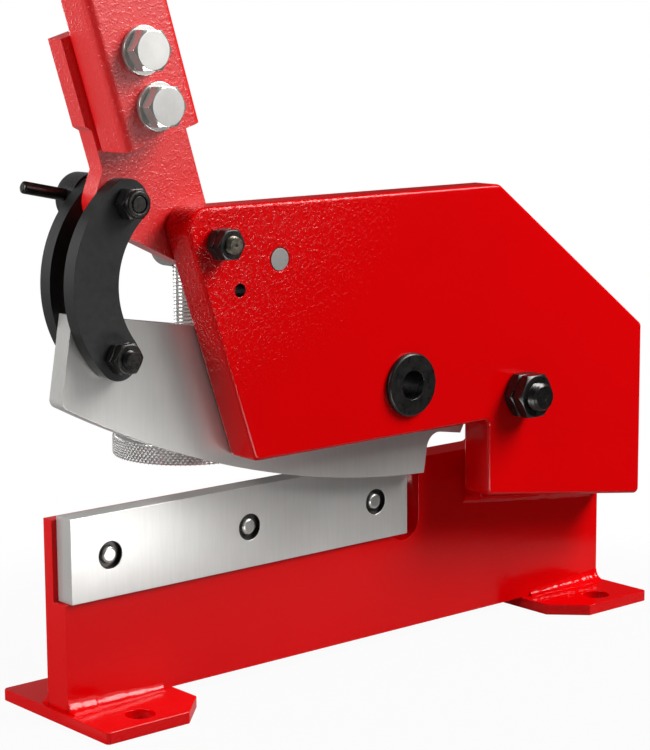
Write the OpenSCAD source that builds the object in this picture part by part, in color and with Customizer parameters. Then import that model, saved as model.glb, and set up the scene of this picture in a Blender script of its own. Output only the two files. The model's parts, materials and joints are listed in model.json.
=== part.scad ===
// Bench lever shear for sheet metal.
// X runs from the open front end (-X) to the rear, Y from the cheek side (-Y) to the hold-down side, Z up.
// The origin is at the middle of the four foot bolts, on the surface that the shear stands on.

/* [Frame plate] */
// Thickness of the frame plate
frame_t = 16; // [14:0.5:20]
// Height of the working edge above the surface that the feet stand on
frame_h = 91.5; // [80:0.5:110]
// Length of the frame plate behind the lower blade's seat
rear_len = 132; // [125:1:160]
// Height of the rear upright above the working edge
upright_h = 50; // [46:1:60]
// Length of the rear upright along the plate
upright_len = 102; // [96:1:110]
// Depth that the throat slot cuts into the upright
throat_len = 19; // [11:1:22]
// Height of the throat slot
throat_h = 14; // [10:0.5:16]
// Radius of the throat slot's inner corners
throat_r = 4; // [2:0.5:4.5]

/* [Feet] */
// Length of a foot along the plate
foot_l = 60; // [50:1:70]
// Width of a foot across the plate
foot_w = 84; // [76:1:110]
// Thickness of a foot
foot_t = 5.5; // [4:0.5:8]
// How far a foot stands past the plate's end
foot_out = 2.4; // [0:0.2:5]
// Cut corners of a foot
foot_cut = 16; // [8:1:18]
// Radius of a foot's outer corners
foot_corner_r = 2; // [1:0.5:8]
// Diameter of a foot's bolt holes
foot_hole_d = 13.5; // [9:0.5:14]
// Distance from a foot's outer end to its holes
foot_hole_end = 26; // [18:0.5:30]
// Distance from a foot's long edge to its hole
foot_hole_edge = 12.2; // [10:0.2:15]
// Leg of the weld beads along the feet
foot_weld = 6; // [2:0.5:8]

/* [Lower blade] */
// Length of the lower blade
lower_len = 200; // [180:1:220]
// Height of the lower blade
lower_h = 38.7; // [34:0.1:44]
// Thickness of the lower blade
lower_t = 11; // [8:0.5:13]
// Height of the lower blade's edge above the frame plate
lower_rise = 1.7; // [0.5:0.1:3]
// How far the lower blade stands out of its seat
lower_proud = 1.6; // [0.6:0.1:3]
// Distance from the front of the frame plate to the lower blade
lower_inset = 2.5; // [0:0.5:5]
// Diameter of the lower blade's bolts
blade_bolt_d = 8; // [6:1:10]
// Width across the flats of the lower blade's bolt heads
blade_bolt_af = 13; // [11:1:17]
// Number of bolts that hold the lower blade
blade_bolt_count = 3; // [2:1:4]
// Distance from each end of the lower blade to its end bolts
blade_bolt_end = 21; // [14:0.5:30]
// Diameter of the recess round each bolt's end
blade_recess_d = 12.6; // [11:0.1:14]
// Depth of the recess round each bolt's end
blade_recess_depth = 2.6; // [1:0.1:4]
// Radius of the milled end of the seat
seat_r = 10; // [6:0.5:12]
// How far that radius reaches back over the lower blade's end
seat_nip = 0.8; // [0.2:0.1:1.5]
// Depth of the milled end below the lower blade
seat_dip = 3.5; // [1:0.5:6]

/* [Upper blade] */
// Thickness of the upper blade
upper_t = 10; // [8:0.5:12]
// Sideways gap between the two blades
shear_gap = 0.1; // [0.05:0.01:0.3]
// Distance from the rear end of the lower blade forward to the blade pivot
pivot_back = 24.5; // [18:0.5:32]
// Height of the blade pivot above the lower blade's edge
pivot_rise = 43.2; // [40:0.2:52]
// How far the upper blade reaches past the front of the lower blade
tip_over = 8.5; // [4:0.5:14]
// Angle that the upper blade is tipped open
open_angle = 9.5; // [8:0.25:11]
// Height of the blade's back above its pivot
back_h = 18.2; // [17:0.2:22]
// Depth of the cutting edge below the pivot at its lowest point
edge_drop = 48.3; // [44:0.1:50]
// Distance from the pivot forward to the lowest point of the cutting edge
edge_low = 25; // [10:1:40]
// Radius of the bowed cutting edge
edge_r = 485; // [420:5:700]
// Distance from the pivot to the rear end of the cutting edge
heel_back = 34.3; // [28:0.1:40]
// Depth of the blade's tail below the pivot
tail_drop = 24; // [18:0.5:28]
// Radius of the blade's tail about the pivot
tail_r = 61; // [50:0.5:63]
// Radius of the inside corner between the heel and the tail
heel_r = 8; // [3:0.5:10]
// Radius of the lower corner of the blade's tip
tip_r = 4; // [1:0.5:8]

/* [Blade pivot] */
// Outer diameter of the pivot bush
bush_d = 24; // [18:0.5:28]
// Bore of the pivot bush
bush_bore_d = 14; // [8:0.5:16]
// Diameter of the bush's flange
flange_d = 30.5; // [29:0.5:36]
// Thickness of the bush's flange
flange_t = 2.7; // [2:0.1:4]
// Thickness of the thrust washer behind the blade
thrust_t = 2.5; // [1.5:0.1:4]
// Diameter of the thrust washer
thrust_d = 36; // [32:1:44]
// Thickness of the retaining ring
ring_t = 1.5; // [1:0.1:2]
// Depth of the retaining ring's groove
ring_groove = 1; // [0.6:0.1:1.6]
// Height of the retaining ring above the bush
ring_h = 3; // [2:0.5:5]

/* [Cheek plate] */
// Thickness of the cheek plate
cheek_t = 18; // [14:0.5:20]
// Height of the cheek's top edge above the lever pivot
cheek_top = 16.2; // [15:0.2:22]
// Distance from the lever pivot forward to the cheek's top corner
cheek_nose = 20; // [17:0.5:24]
// Radius of the cheek's top front corner
nose_r = 10; // [6:0.5:14]
// Distance from the lever pivot back to the cheek's lower front corner
cheek_toe = 19; // [10:0.5:26]
// Depth of the cheek's lower edge below the blade pivot
cheek_drop = 24.4; // [22:0.2:28]
// Distance from the blade pivot back to the lug of the cheek
lug_back = 53.3; // [48:0.1:58]
// Depth of the lug's front corner below the lower blade's edge
lug_drop = 19; // [14:0.5:24]
// Depth of the lug's rear corner below the lower blade's edge
lug_rear_drop = 35; // [26:0.5:40]
// Distance from the blade pivot back to the end of the cheek's top edge
cheek_top_back = 60.4; // [50:0.2:70]
// Height of the cheek's rear edge top above the blade pivot
cheek_rear_h = 13; // [6:0.5:20]
// Radius of the cheek's other corners
cheek_r = 3; // [1:0.5:5]
// Diameter of the small cross hole
cross_hole_d = 6; // [4:0.5:8]
// Distance from the lever pivot back to the cross hole
cross_hole_back = 11.5; // [10:0.5:13]
// Distance from the lever pivot down to the cross hole
cross_hole_down = 21.8; // [21:0.2:25]

/* [Cheek joint] */
// Distance from the lug's front edge back to the spacer block
spacer_back = 12.5; // [11:0.5:14]
// Depth of the spacer block's lower front corner below the lower blade's edge
spacer_low = 25; // [20:0.5:30]
// Depth of the spacer block's lower rear corner below the lower blade's edge
spacer_rear_low = 36.5; // [30:0.5:42]
// Leg of the weld bead under the spacer block
spacer_weld = 5; // [3:0.5:7]
// Diameter of the clamp bolt
clamp_d = 14; // [12:1:16]
// Width across the flats of the clamp bolt's head and nut
clamp_af = 21; // [18:1:24]
// Thickness of each of the clamp bolt's two nuts
clamp_nut_t = 6.2; // [4:0.2:8]
// Distance from the blade pivot back to the clamp bolt
clamp_back = 74.7; // [72:0.1:80]
// Depth of the clamp bolt below the blade pivot
clamp_drop = 13.2; // [10:0.2:16]

/* [Lever] */
// Distance from the front of the frame plate to the lever pivot
lever_x = 64.8; // [60:0.2:72]
// Height of the lever pivot above the blade pivot
lever_rise = 75.8; // [72:0.2:82]
// Angle that the lever leans forward
lever_lean = 17; // [12:0.5:22]
// Thickness of the lever plate
lever_t = 10; // [8:0.5:12]
// Width of the lever plate's arm
arm_w = 47.5; // [46:0.5:54]
// Distance from the lever pivot back to the arm's rear edge
arm_rear = 11.5; // [10:0.5:14]
// Length of the arm past the upper handle bolt
arm_over = 12.3; // [10:0.1:25]
// Width of the ledge on the arm's front edge
arm_step = 2.5; // [1:0.5:4]
// Height of the ledge above the lever pivot
arm_step_u = 66; // [58:1:80]
// Radius of the lever's pivot eye
lever_eye_r = 12; // [11.5:0.5:17]
// Radius of the lever's link eye
link_end_r = 12; // [10:0.5:13]
// Height of the arm's front shoulder above the link pin
shoulder_up = 15.6; // [14:0.2:20]
// Distance across the arm from the lever pivot to the link pin
pin_across = 33; // [30:0.5:36]
// Distance along the arm from the lever pivot to the link pin
pin_along = 30.4; // [27:0.2:34]
// Diameter of the lever's pivot bolt
lever_bolt_d = 8; // [6:1:10]
// Width across the flats of the lever's pivot bolt and nut
lever_bolt_af = 13; // [12:1:17]
// Thickness of each of the two nuts on the lever's pivot bolt
lever_nut_t = 4.9; // [3:0.1:7]
// Outer diameter of the lever's bush
lever_bush_d = 14; // [13.5:0.5:18]
// Thickness of the plain washers
washer_t = 2; // [1:0.1:3]

/* [Handle] */
// Width of the handle tube
tube_w = 41; // [36:1:46]
// Depth of the handle tube
tube_d = 21.5; // [16:0.5:28]
// Wall of the handle tube
tube_wall = 2.5; // [1.5:0.1:3.5]
// Corner radius of the handle tube
tube_r = 4; // [3.6:0.2:6]
// Length of the handle tube
tube_len = 420; // [300:5:600]
// Distance along the arm from the lever pivot to the lower end of the tube
tube_start = 54.3; // [50:0.5:60]
// Distance across the arm from the lever pivot to the middle of the tube
tube_across = 15; // [11:0.2:17]
// Diameter of the handle bolts
handle_bolt_d = 10; // [8:1:12]
// Width across the flats of the handle bolts
handle_bolt_af = 17; // [14:1:19]
// Diameter of the handle bolts' washers
handle_washer_d = 21; // [20:0.5:24]
// Distance from the lower end of the tube to the lower handle bolt
handle_bolt_end = 13.8; // [12:0.2:18]
// Distance between the handle bolts
handle_bolt_pitch = 24.6; // [23:0.2:26]
// Length of the hand grip
grip_len = 125; // [90:5:160]
// Wall of the hand grip
grip_wall = 3; // [2:0.5:5]

/* [Links] */
// Thickness of a link
link_t = 7.5; // [6:0.5:10]
// Radius of a link's eyes
link_eye_r = 10.5; // [10:0.1:12]
// Distance from the pin line to the centre of a link's outer bow
outer_bow = 28.5; // [26:0.5:38]
// Distance from the pin line to the centre of a link's inner bow
inner_bow = 35.8; // [32:0.2:42]
// Distance from the upper blade's tip back to the link pin
link_inset = 21.5; // [18:0.5:26]
// Height of the link pin above the blade pivot, with the blade level
link_up = 2.4; // [0:0.2:5]
// Diameter of the link pins
link_pin_d = 8; // [6:1:10]
// Width across the flats of the link nuts
link_af = 13; // [12:1:16]
// Thickness of each of the two nuts on the lower link pin
link_nut_t = 4; // [3:0.1:6]
// Radial room round the lower link pin in the upper blade
pin_room = 3.6; // [3.2:0.1:4]

/* [Lock screw] */
// Diameter of the lock screw's hub
hub_d = 23; // [18:0.5:26]
// Length of the lock screw's hub
hub_len = 13.6; // [10:0.2:18]
// Diameter of the tommy bar
bar_d = 5.5; // [4:0.5:7]
// Length of the tommy bar in front of the lock screw
bar_front = 33; // [24:1:45]
// Length of the tommy bar behind the lock screw
bar_rear = 14; // [13:1:18]
// Angle that the tommy bar rises toward the front
bar_rise = 12; // [0:1:20]

/* [Hold-down] */
// Distance from the lever pivot back to the hold-down's screw
hold_back = 34.3; // [32:0.1:38]
// Depth of the holder bar below the lever pivot
hold_drop = 9.7; // [5:0.1:12]
// Diameter of the holder bar
holder_d = 20; // [18:0.5:22]
// Diameter of the holder's spigot in the cheek plate
spigot_d = 10; // [8:0.5:12]
// Width of the countersink round the spigot
spigot_sink = 0.8; // [0.3:0.1:1.5]
// Distance from the frame plate's far face to the screw
screw_out = 25.5; // [25:0.5:32]
// Length of the holder bar past the screw
holder_end = 14.5; // [10:0.5:18]
// Diameter of the hold-down screw
screw_d = 12; // [10:1:14]
// Length of the hold-down screw above the holder bar
screw_above = 27; // [14:1:40]
// Diameter of the knurled wheel
wheel_d = 72; // [50:1:74]
// Thickness of the knurled wheel
wheel_t = 9.5; // [8:0.5:14]
// Rounding of the wheel's rims
wheel_r = 2; // [1:0.5:3]
// Gap between the wheel and the lower blade's edge
hold_gap = 11; // [4:0.5:20]
// Diameter of the swivel pad under the wheel
pad_d = 22; // [14:1:30]
// Depth of the pad's recess in the wheel
pad_recess = 3; // [2:0.5:4]
// How far the pad stands out below the wheel
pad_proud = 0.8; // [0.4:0.1:2]
// Diameter of the pad's stem in the screw
pad_stem_d = 6; // [4:0.5:7]
// Length of the pad's stem in the screw
pad_stem_len = 12; // [8:1:20]

/* [Clearances] */
// Sideways gap between sliding plates
slide_gap = 0.3; // [0.2:0.05:0.5]
// Radial gap of a running fit
run_gap = 0.05; // [0.02:0.01:0.09]
// Radial gap of a fixed fit
fit_gap = 0.03; // [0.02:0.01:0.09]
// Radial gap of a bolt in its hole
bolt_gap = 0.5; // [0.25:0.05:0.7]

/* [Hidden] */
$fn = 64;
eps = 1;
chamfer = 0.8;
edge_fn = 360;
head_per_d = 0.64;
nut_per_d = 0.84;
end_per_d = 0.36;
collar_per_d = 0.225;
washer_per_d = 2;
hex_round = 0.96;
nut_turn = 6;
seat_relief = seat_r - seat_nip;

// Places along the frame plate, from its middle
frame_len = lower_inset + lower_len + seat_relief + rear_len;
x_front = -frame_len / 2;
x_rear = frame_len / 2;
x_lower = x_front + lower_inset;
x_pivot = x_lower + lower_len - pivot_back;
x_lever = x_front + lever_x;
x_lug = x_pivot + lug_back;
x_spacer = x_lug + spacer_back;
x_upright = x_rear - upright_len;
x_clamp = x_pivot + clamp_back;
x_hold = x_lever + hold_back;

// Heights above the surface that the feet stand on
z_edge = frame_h + lower_rise;
z_lower = z_edge - lower_h;
z_pivot = z_edge + pivot_rise;
z_lever = z_pivot + lever_rise;
z_clamp = z_pivot - clamp_drop;
z_hold = z_lever - hold_drop;
z_wheel = z_edge + hold_gap;
z_upright = frame_h + upright_h;
z_cheek_top = z_lever + cheek_top;
z_cheek_low = z_pivot - cheek_drop;
z_lug = z_edge - lug_drop;
z_lug_rear = z_edge - lug_rear_drop;
z_spacer = z_edge - spacer_low;
z_spacer_rear = z_edge - spacer_rear_low;

// Layers across the frame plate, from the cheek side to the hold-down side
y_near = -frame_t / 2;
y_far = frame_t / 2;
y_lower = y_near - lower_proud;
y_seat = y_lower + lower_t;
y_upper_far = y_lower - shear_gap;
y_mid = y_upper_far - upper_t / 2;
pack_half = max(upper_t, lever_t) / 2 + slide_gap;
y_pack_near = y_mid - pack_half;
y_pack_far = y_mid + pack_half;
y_cheek = y_pack_near - cheek_t;
y_lever = y_mid - lever_t / 2;
y_tube = y_lever - tube_d;
y_link = y_pack_near - link_t;
y_hold = y_far + screw_out;

// The four pins of the linkage, as [x, z]
pin_a = [x_lever, z_lever];
pin_b = pin_a + turned([-pin_across, pin_along], lever_lean);
tip_reach = x_pivot - x_lower + tip_over;
pin_c_level = [link_inset - tip_reach, link_up];
pin_c = [x_pivot, z_pivot] + turned(pin_c_level, -open_angle);
link_len = norm(pin_c - pin_b);
link_angle = atan2(pin_b[0] - pin_c[0], pin_b[1] - pin_c[1]);

foot_pitch_x = frame_len + 2 * foot_out - 2 * foot_hole_end;
foot_pitch_y = foot_w - 2 * foot_hole_edge;
blade_bolt_pitch = (lower_len - 2 * blade_bolt_end) / (blade_bolt_count - 1);
spacer_slope = atan2(z_spacer - z_spacer_rear, x_rear - x_spacer);
arm_len = tube_start + handle_bolt_end + handle_bolt_pitch + arm_over;
thread_hole_gap = fit_gap;

// A point turned counter-clockwise by an angle
function turned(p, a) = [p[0] * cos(a) - p[1] * sin(a), p[0] * sin(a) + p[1] * cos(a)];

// A direction of length one
function unit(v) = v / norm(v);

// Points of a corner at q, between p and s, rounded to radius r in a few steps
function corner(p, q, s, r, steps = 6) =
    let (u = unit(p - q), v = unit(s - q))
    let (half = acos(u * v) / 2, middle = q + unit(u + v) * r / sin(half))
    let (first = q + u * r / tan(half), last = q + v * r / tan(half))
    let (a = atan2(first[1] - middle[1], first[0] - middle[0]))
    let (b = atan2(last[1] - middle[1], last[0] - middle[0]))
    let (sweep = b - a > 180 ? b - a - 360 : b - a < -180 ? b - a + 360 : b - a)
    [for (i = [0 : steps]) middle + r * [cos(a + sweep * i / steps), sin(a + sweep * i / steps)]];

// An outline with every corner rounded to its own radius, where 0 keeps it sharp
function rounded(points, radii) =
    let (n = len(points))
    [
        for (i = [0 : n - 1])
            each (radii[i] == 0
                ? [points[i]]
                : corner(points[(i + n - 1) % n], points[i], points[(i + 1) % n], radii[i]))
    ];

// Turns an outline in x and z into a plate from y0 to y1
module plate(y0, y1) {
    translate([0, y1, 0])
        rotate([90, 0, 0])
            linear_extrude(y1 - y0)
                children();
}

// Puts a piece that was drawn upward along +Y, from the place p = [x, z]
module toward_far(p, y) {
    translate([p[0], y, p[1]])
        rotate([-90, 0, 0])
            children();
}

// Puts a piece that was drawn upward along -Y, from the place p = [x, z]
module toward_near(p, y) {
    translate([p[0], y, p[1]])
        rotate([90, 0, 0])
            children();
}

// A straight hole across the plates
module cross_bore(p, d, y0, y1) {
    toward_far(p, y0)
        cylinder(d = d, h = y1 - y0);
}

// A hexagon with its corners turned off at both ends
module hex_block(af, h) {
    corner_d = af / cos(30);
    turned_off = (corner_d - af * hex_round) / 2 * tan(30);
    intersection() {
        cylinder(d = corner_d, h = h, $fn = 6);
        rotate_extrude()
            polygon([
                [0, 0], [af * hex_round / 2, 0], [corner_d / 2, turned_off],
                [corner_d / 2, h - turned_off], [af * hex_round / 2, h], [0, h]
            ]);
    }
}

// A round shank with a chamfered end
module shank(d, length) {
    rotate_extrude()
        polygon([[0, 0], [d / 2, 0], [d / 2, length - chamfer], [d / 2 - chamfer, length], [0, length]]);
}

// A hexagon bolt whose head ends at height 0 and whose shank runs upward
module hex_bolt(d, af, length) {
    head_h = d * head_per_d;
    union() {
        translate([0, 0, -head_h])
            hex_block(af, head_h);
        shank(d, length);
    }
}

// A hexagon nut of thickness t that stands on height 0
module hex_nut(d, af, t) {
    difference() {
        hex_block(af, t);
        translate([0, 0, -eps])
            cylinder(d = d + 2 * thread_hole_gap, h = t + 2 * eps);
    }
}

// A plain washer that stands on height 0
module washer(hole_d, outer_d, t) {
    difference() {
        cylinder(d = outer_d, h = t);
        translate([0, 0, -eps])
            cylinder(d = hole_d, h = t + 2 * eps);
    }
}

// A straight fillet weld along +X, against a face at y = 0 on its +Y side and a face at z = 0
module weld_bead(leg, length) {
    rotate([90, 0, 90])
        linear_extrude(length)
            polygon([[0, 0], [-leg, 0], [0, leg]]);
}

// Places of the lower blade's bolts, as [x, z]
function blade_bolt_places() =
    [
        for (i = [0 : blade_bolt_count - 1])
            [x_lower + blade_bolt_end + i * blade_bolt_pitch, z_lower + lower_h / 2]
    ];

// Places of the handle bolts in the lever's own frame, as [across, along]
function handle_bolt_places() =
    [for (i = [0, 1]) [-tube_across, tube_start + handle_bolt_end + i * handle_bolt_pitch]];

// A place in the lever's own frame as [x, z]
function on_lever(p) = pin_a + turned(p, lever_lean);

module frame_plate() {
    throat_x = x_upright + throat_len;
    throat_z = frame_h + throat_h;
    seat_end = x_lower + lower_len + seat_relief;
    seat_low = z_lower - seat_dip + seat_r;
    color("crimson")
        difference() {
            plate(y_near, y_far)
                polygon(rounded(
                    [
                        [x_front, foot_t], [x_rear, foot_t], [x_rear, z_upright], [x_upright, z_upright],
                        [x_upright, throat_z], [throat_x, throat_z], [throat_x, frame_h], [x_front, frame_h]
                    ],
                    [0, 0, cheek_r, cheek_r, cheek_r, throat_r, throat_r, 0]
                ));
            plate(y_near - eps, y_seat)
                union() {
                    translate([x_front - eps, z_lower])
                        square([seat_end - seat_r - x_front + eps, frame_h - z_lower + eps]);
                    translate([seat_end - 2 * seat_r, seat_low])
                        square([2 * seat_r, frame_h - seat_low + eps]);
                    translate([seat_end - seat_r, seat_low])
                        circle(r = seat_r);
                }
            for (p = blade_bolt_places())
                cross_bore(p, blade_bolt_d + 2 * bolt_gap, y_near, y_far + eps);
            cross_bore([x_clamp, z_clamp], clamp_d + 2 * bolt_gap, y_near - eps, y_far + eps);
        }
}

// One foot, with its outer end at x = 0 and its inner end toward +X
module foot() {
    difference() {
        linear_extrude(foot_t)
            polygon(rounded(
                [
                    [0, -foot_w / 2], [foot_l - foot_cut, -foot_w / 2], [foot_l, foot_cut - foot_w / 2],
                    [foot_l, foot_w / 2 - foot_cut], [foot_l - foot_cut, foot_w / 2], [0, foot_w / 2]
                ],
                [foot_corner_r, 0, 0, 0, 0, foot_corner_r]
            ));
        for (side = [-1, 1])
            translate([foot_hole_end, side * foot_pitch_y / 2, -eps])
                cylinder(d = foot_hole_d, h = foot_t + 2 * eps);
    }
}

// The two beads that join one foot to the frame plate
module foot_welds() {
    for (side = [0, 1])
        mirror([0, side, 0])
            translate([0, y_near, foot_t])
                weld_bead(foot_weld, foot_l - foot_out - foot_weld);
}

module front_foot() {
    color("crimson")
        translate([x_front - foot_out, 0, 0])
            foot();
}

module rear_foot() {
    color("crimson")
        translate([x_rear + foot_out, 0, 0])
            mirror([1, 0, 0])
                foot();
}

module front_foot_welds() {
    color("crimson")
        translate([x_front, 0, 0])
            foot_welds();
}

module rear_foot_welds() {
    color("crimson")
        translate([x_rear, 0, 0])
            mirror([1, 0, 0])
                foot_welds();
}

module lower_blade() {
    color("silver")
        difference() {
            translate([x_lower, y_lower, z_lower])
                cube([lower_len, lower_t, lower_h]);
            for (p = blade_bolt_places()) {
                cross_bore(p, blade_bolt_d + 2 * thread_hole_gap, y_lower, y_seat + eps);
                cross_bore(p, blade_recess_d, y_lower - eps, y_lower + blade_recess_depth);
            }
        }
}

module lower_blade_bolts() {
    head_seat = y_far + washer_t;
    color("gainsboro")
        for (p = blade_bolt_places())
            toward_near(p, head_seat)
                hex_bolt(blade_bolt_d, blade_bolt_af, head_seat - y_lower - chamfer / 2);
}

module lower_blade_washers() {
    color("gainsboro")
        for (p = blade_bolt_places())
            toward_far(p, y_far)
                washer(blade_bolt_d + 2 * fit_gap, blade_bolt_d * washer_per_d, washer_t);
}

module cheek_plate() {
    hold = [x_hold, z_hold];
    cross_hole = pin_a + [cross_hole_back, -cross_hole_down];
    color("red")
        difference() {
            plate(y_cheek, y_pack_near)
                polygon(rounded(
                    [
                        [x_lever - cheek_nose, z_cheek_top], [x_lever + cheek_toe, z_cheek_low],
                        [x_lug, z_cheek_low], [x_lug, z_lug], [x_rear, z_lug_rear],
                        [x_rear, z_pivot + cheek_rear_h], [x_pivot + cheek_top_back, z_cheek_top]
                    ],
                    [nose_r, cheek_r, cheek_r, cheek_r, cheek_r, cheek_r, 2 * cheek_r]
                ));
            cross_bore([x_pivot, z_pivot], bush_d + 2 * fit_gap, y_cheek - eps, y_pack_near + eps);
            cross_bore(pin_a, lever_bolt_d + 2 * fit_gap, y_cheek - eps, y_pack_near + eps);
            cross_bore([x_clamp, z_clamp], clamp_d + 2 * bolt_gap, y_cheek - eps, y_pack_near + eps);
            cross_bore(hold, spigot_d + 2 * fit_gap, y_cheek - eps, y_pack_near + eps);
            toward_far(hold, y_cheek)
                cylinder(d1 = spigot_d + 2 * spigot_sink, d2 = spigot_d, h = spigot_sink);
            cross_bore(cross_hole, cross_hole_d, y_cheek - eps, y_pack_near + eps);
        }
}

module cheek_spacer() {
    color("crimson")
        difference() {
            plate(y_pack_near, y_near)
                polygon([
                    [x_spacer, z_spacer], [x_rear, z_spacer_rear], [x_rear, z_upright], [x_spacer, z_upright]
                ]);
            cross_bore([x_clamp, z_clamp], clamp_d + 2 * bolt_gap, y_pack_near - eps, y_near + eps);
        }
}

module spacer_weld_bead() {
    run = (x_rear - x_spacer) / cos(spacer_slope);
    color("crimson")
        translate([x_spacer, y_near, z_spacer])
            rotate([0, spacer_slope, 0])
                mirror([0, 0, 1])
                    weld_bead(spacer_weld, run - spacer_weld);
}

module clamp_bolt() {
    head_seat = y_far + washer_t;
    color("dimgray")
        toward_near([x_clamp, z_clamp], head_seat)
            hex_bolt(clamp_d, clamp_af, head_seat - y_cheek + 2 * clamp_nut_t + clamp_d * end_per_d);
}

module clamp_washer() {
    color("dimgray")
        toward_far([x_clamp, z_clamp], y_far)
            washer(clamp_d + 2 * fit_gap, clamp_d * washer_per_d, washer_t);
}

module clamp_nut() {
    color("dimgray")
        toward_near([x_clamp, z_clamp], y_cheek)
            hex_nut(clamp_d, clamp_af, clamp_nut_t);
}

module clamp_lock_nut() {
    color("dimgray")
        toward_near([x_clamp, z_clamp], y_cheek - clamp_nut_t)
            hex_nut(clamp_d, clamp_af, clamp_nut_t);
}

// The hollow pin that the upper blade turns on, with its flange on the cheek
module blade_pivot_bush() {
    ring_seat = y_upper_far + slide_gap + thrust_t - y_cheek;
    bush_len = ring_seat + ring_t + 2 * ring_groove;
    color("dimgray")
        toward_far([x_pivot, z_pivot], y_cheek)
            rotate_extrude()
                polygon([
                    [bush_bore_d / 2, -flange_t], [flange_d / 2 - chamfer, -flange_t],
                    [flange_d / 2, chamfer - flange_t], [flange_d / 2, 0], [bush_d / 2, 0],
                    [bush_d / 2, ring_seat], [bush_d / 2 - ring_groove, ring_seat],
                    [bush_d / 2 - ring_groove, ring_seat + ring_t], [bush_d / 2, ring_seat + ring_t],
                    [bush_d / 2, bush_len - chamfer], [bush_d / 2 - chamfer, bush_len],
                    [bush_bore_d / 2, bush_len]
                ]);
}

module thrust_washer() {
    color("gainsboro")
        toward_far([x_pivot, z_pivot], y_upper_far + slide_gap)
            washer(bush_d + 2 * fit_gap, thrust_d, thrust_t);
}

// An open ring in the bush's groove
module retaining_ring() {
    slit = bush_d / 4;
    color("dimgray")
        toward_far([x_pivot, z_pivot], y_upper_far + slide_gap + thrust_t)
            difference() {
                washer(bush_d - 2 * ring_groove + 2 * fit_gap, bush_d + 2 * ring_h, ring_t);
                translate([-slit / 2, 0, -eps])
                    cube([slit, bush_d + ring_h, ring_t + 2 * eps]);
            }
}

module lever_pivot_bolt() {
    head_seat = y_pack_far + washer_t;
    color("dimgray")
        toward_near(pin_a, head_seat)
            hex_bolt(lever_bolt_d, lever_bolt_af, head_seat - y_cheek + 2 * lever_nut_t + lever_bolt_d * end_per_d);
}

module lever_pivot_washer() {
    color("dimgray")
        toward_far(pin_a, y_pack_far)
            washer(lever_bolt_d + 2 * fit_gap, lever_bolt_d * washer_per_d, washer_t);
}

module lever_pivot_nut() {
    color("dimgray")
        toward_near(pin_a, y_cheek)
            rotate(nut_turn)
                hex_nut(lever_bolt_d, lever_bolt_af, lever_nut_t);
}

module lever_pivot_lock_nut() {
    color("dimgray")
        toward_near(pin_a, y_cheek - lever_nut_t)
            hex_nut(lever_bolt_d, lever_bolt_af, lever_nut_t);
}

// A stepped round bar, riveted into the cheek, that carries the hold-down's screw
module hold_down_holder() {
    y_end = y_hold + holder_end;
    color("lightgray")
        difference() {
            union() {
                toward_far([x_hold, z_hold], y_pack_near)
                    shank(holder_d, y_end - y_pack_near);
                cross_bore([x_hold, z_hold], spigot_d, y_cheek, y_pack_near + eps);
            }
            translate([x_hold, y_hold, z_hold - holder_d / 2 - eps])
                cylinder(d = screw_d + 2 * run_gap, h = holder_d + 2 * eps);
        }
}

// What is taken off the lower corner of the blade's tip, with the blade level
module tip_corner() {
    steps = 5;
    bow = [-edge_low, edge_r - edge_drop];
    x = tip_r - tip_reach;
    middle = [x, bow[1] - sqrt(pow(edge_r - tip_r, 2) - pow(x - bow[0], 2))];
    step = (180 + atan2(middle[1] - bow[1], middle[0] - bow[0])) / steps;
    low = middle[1] - 3 * tip_r;
    polygon(concat(
        [for (i = [0 : steps]) middle - tip_r * [cos(i * step), sin(i * step)]],
        [[x, low], [-tip_reach - eps, low], [-tip_reach - eps, middle[1]]]
    ));
}

// The upper blade's outline with its back level and its pivot at the origin
module upper_outline() {
    union() {
        difference() {
            intersection() {
                translate([-tip_reach, -2 * edge_drop])
                    square([tip_reach + heel_back, 2 * edge_drop + back_h]);
                translate([-edge_low, edge_r - edge_drop])
                    circle(r = edge_r, $fn = edge_fn);
            }
            tip_corner();
        }
        intersection() {
            translate([0, -tail_drop])
                square([tail_r, tail_drop + back_h]);
            circle(r = tail_r);
        }
        difference() {
            translate([heel_back - eps, -tail_drop - heel_r])
                square([heel_r + eps, heel_r + eps]);
            translate([heel_back + heel_r, -tail_drop - heel_r])
                circle(r = heel_r);
        }
    }
}

module upper_blade() {
    color("silver")
        difference() {
            plate(y_upper_far - upper_t, y_upper_far)
                translate([x_pivot, z_pivot])
                    rotate(-open_angle)
                        upper_outline();
            cross_bore([x_pivot, z_pivot], bush_d + 2 * run_gap, y_upper_far - upper_t - eps, y_upper_far + eps);
            cross_bore(pin_c, link_pin_d + 2 * pin_room, y_upper_far - upper_t - eps, y_upper_far + eps);
        }
}

// A direction of length one at an angle
function toward(a) = [cos(a), sin(a)];

// The lever's outline in its own frame, with its pivot at the origin and the arm upward
module lever_outline() {
    steps = 20;
    eye = [-pin_across, pin_along];
    front = arm_rear - arm_w;
    shoulder = [front, eye[1] + shoulder_up];
    reach = shoulder - eye;
    rear_turn = acos(min(1, arm_rear / lever_eye_r));
    low_turn = atan2(eye[1], eye[0]) + 90 - asin((lever_eye_r - link_end_r) / norm(eye));
    touch_turn = atan2(reach[1], reach[0]) + acos(link_end_r / norm(reach));
    pivot_step = (low_turn - 360 - rear_turn) / steps;
    eye_step = (touch_turn - low_turn) / steps;
    polygon(concat(
        [[arm_rear, arm_len], [arm_rear, lever_eye_r * sin(rear_turn)]],
        [for (i = [1 : steps]) lever_eye_r * toward(rear_turn + pivot_step * i)],
        [for (i = [0 : steps]) eye + link_end_r * toward(low_turn + eye_step * i)],
        [shoulder, [front, arm_step_u - arm_step], [front - arm_step, arm_step_u], [front - arm_step, arm_len]]
    ));
}

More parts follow.
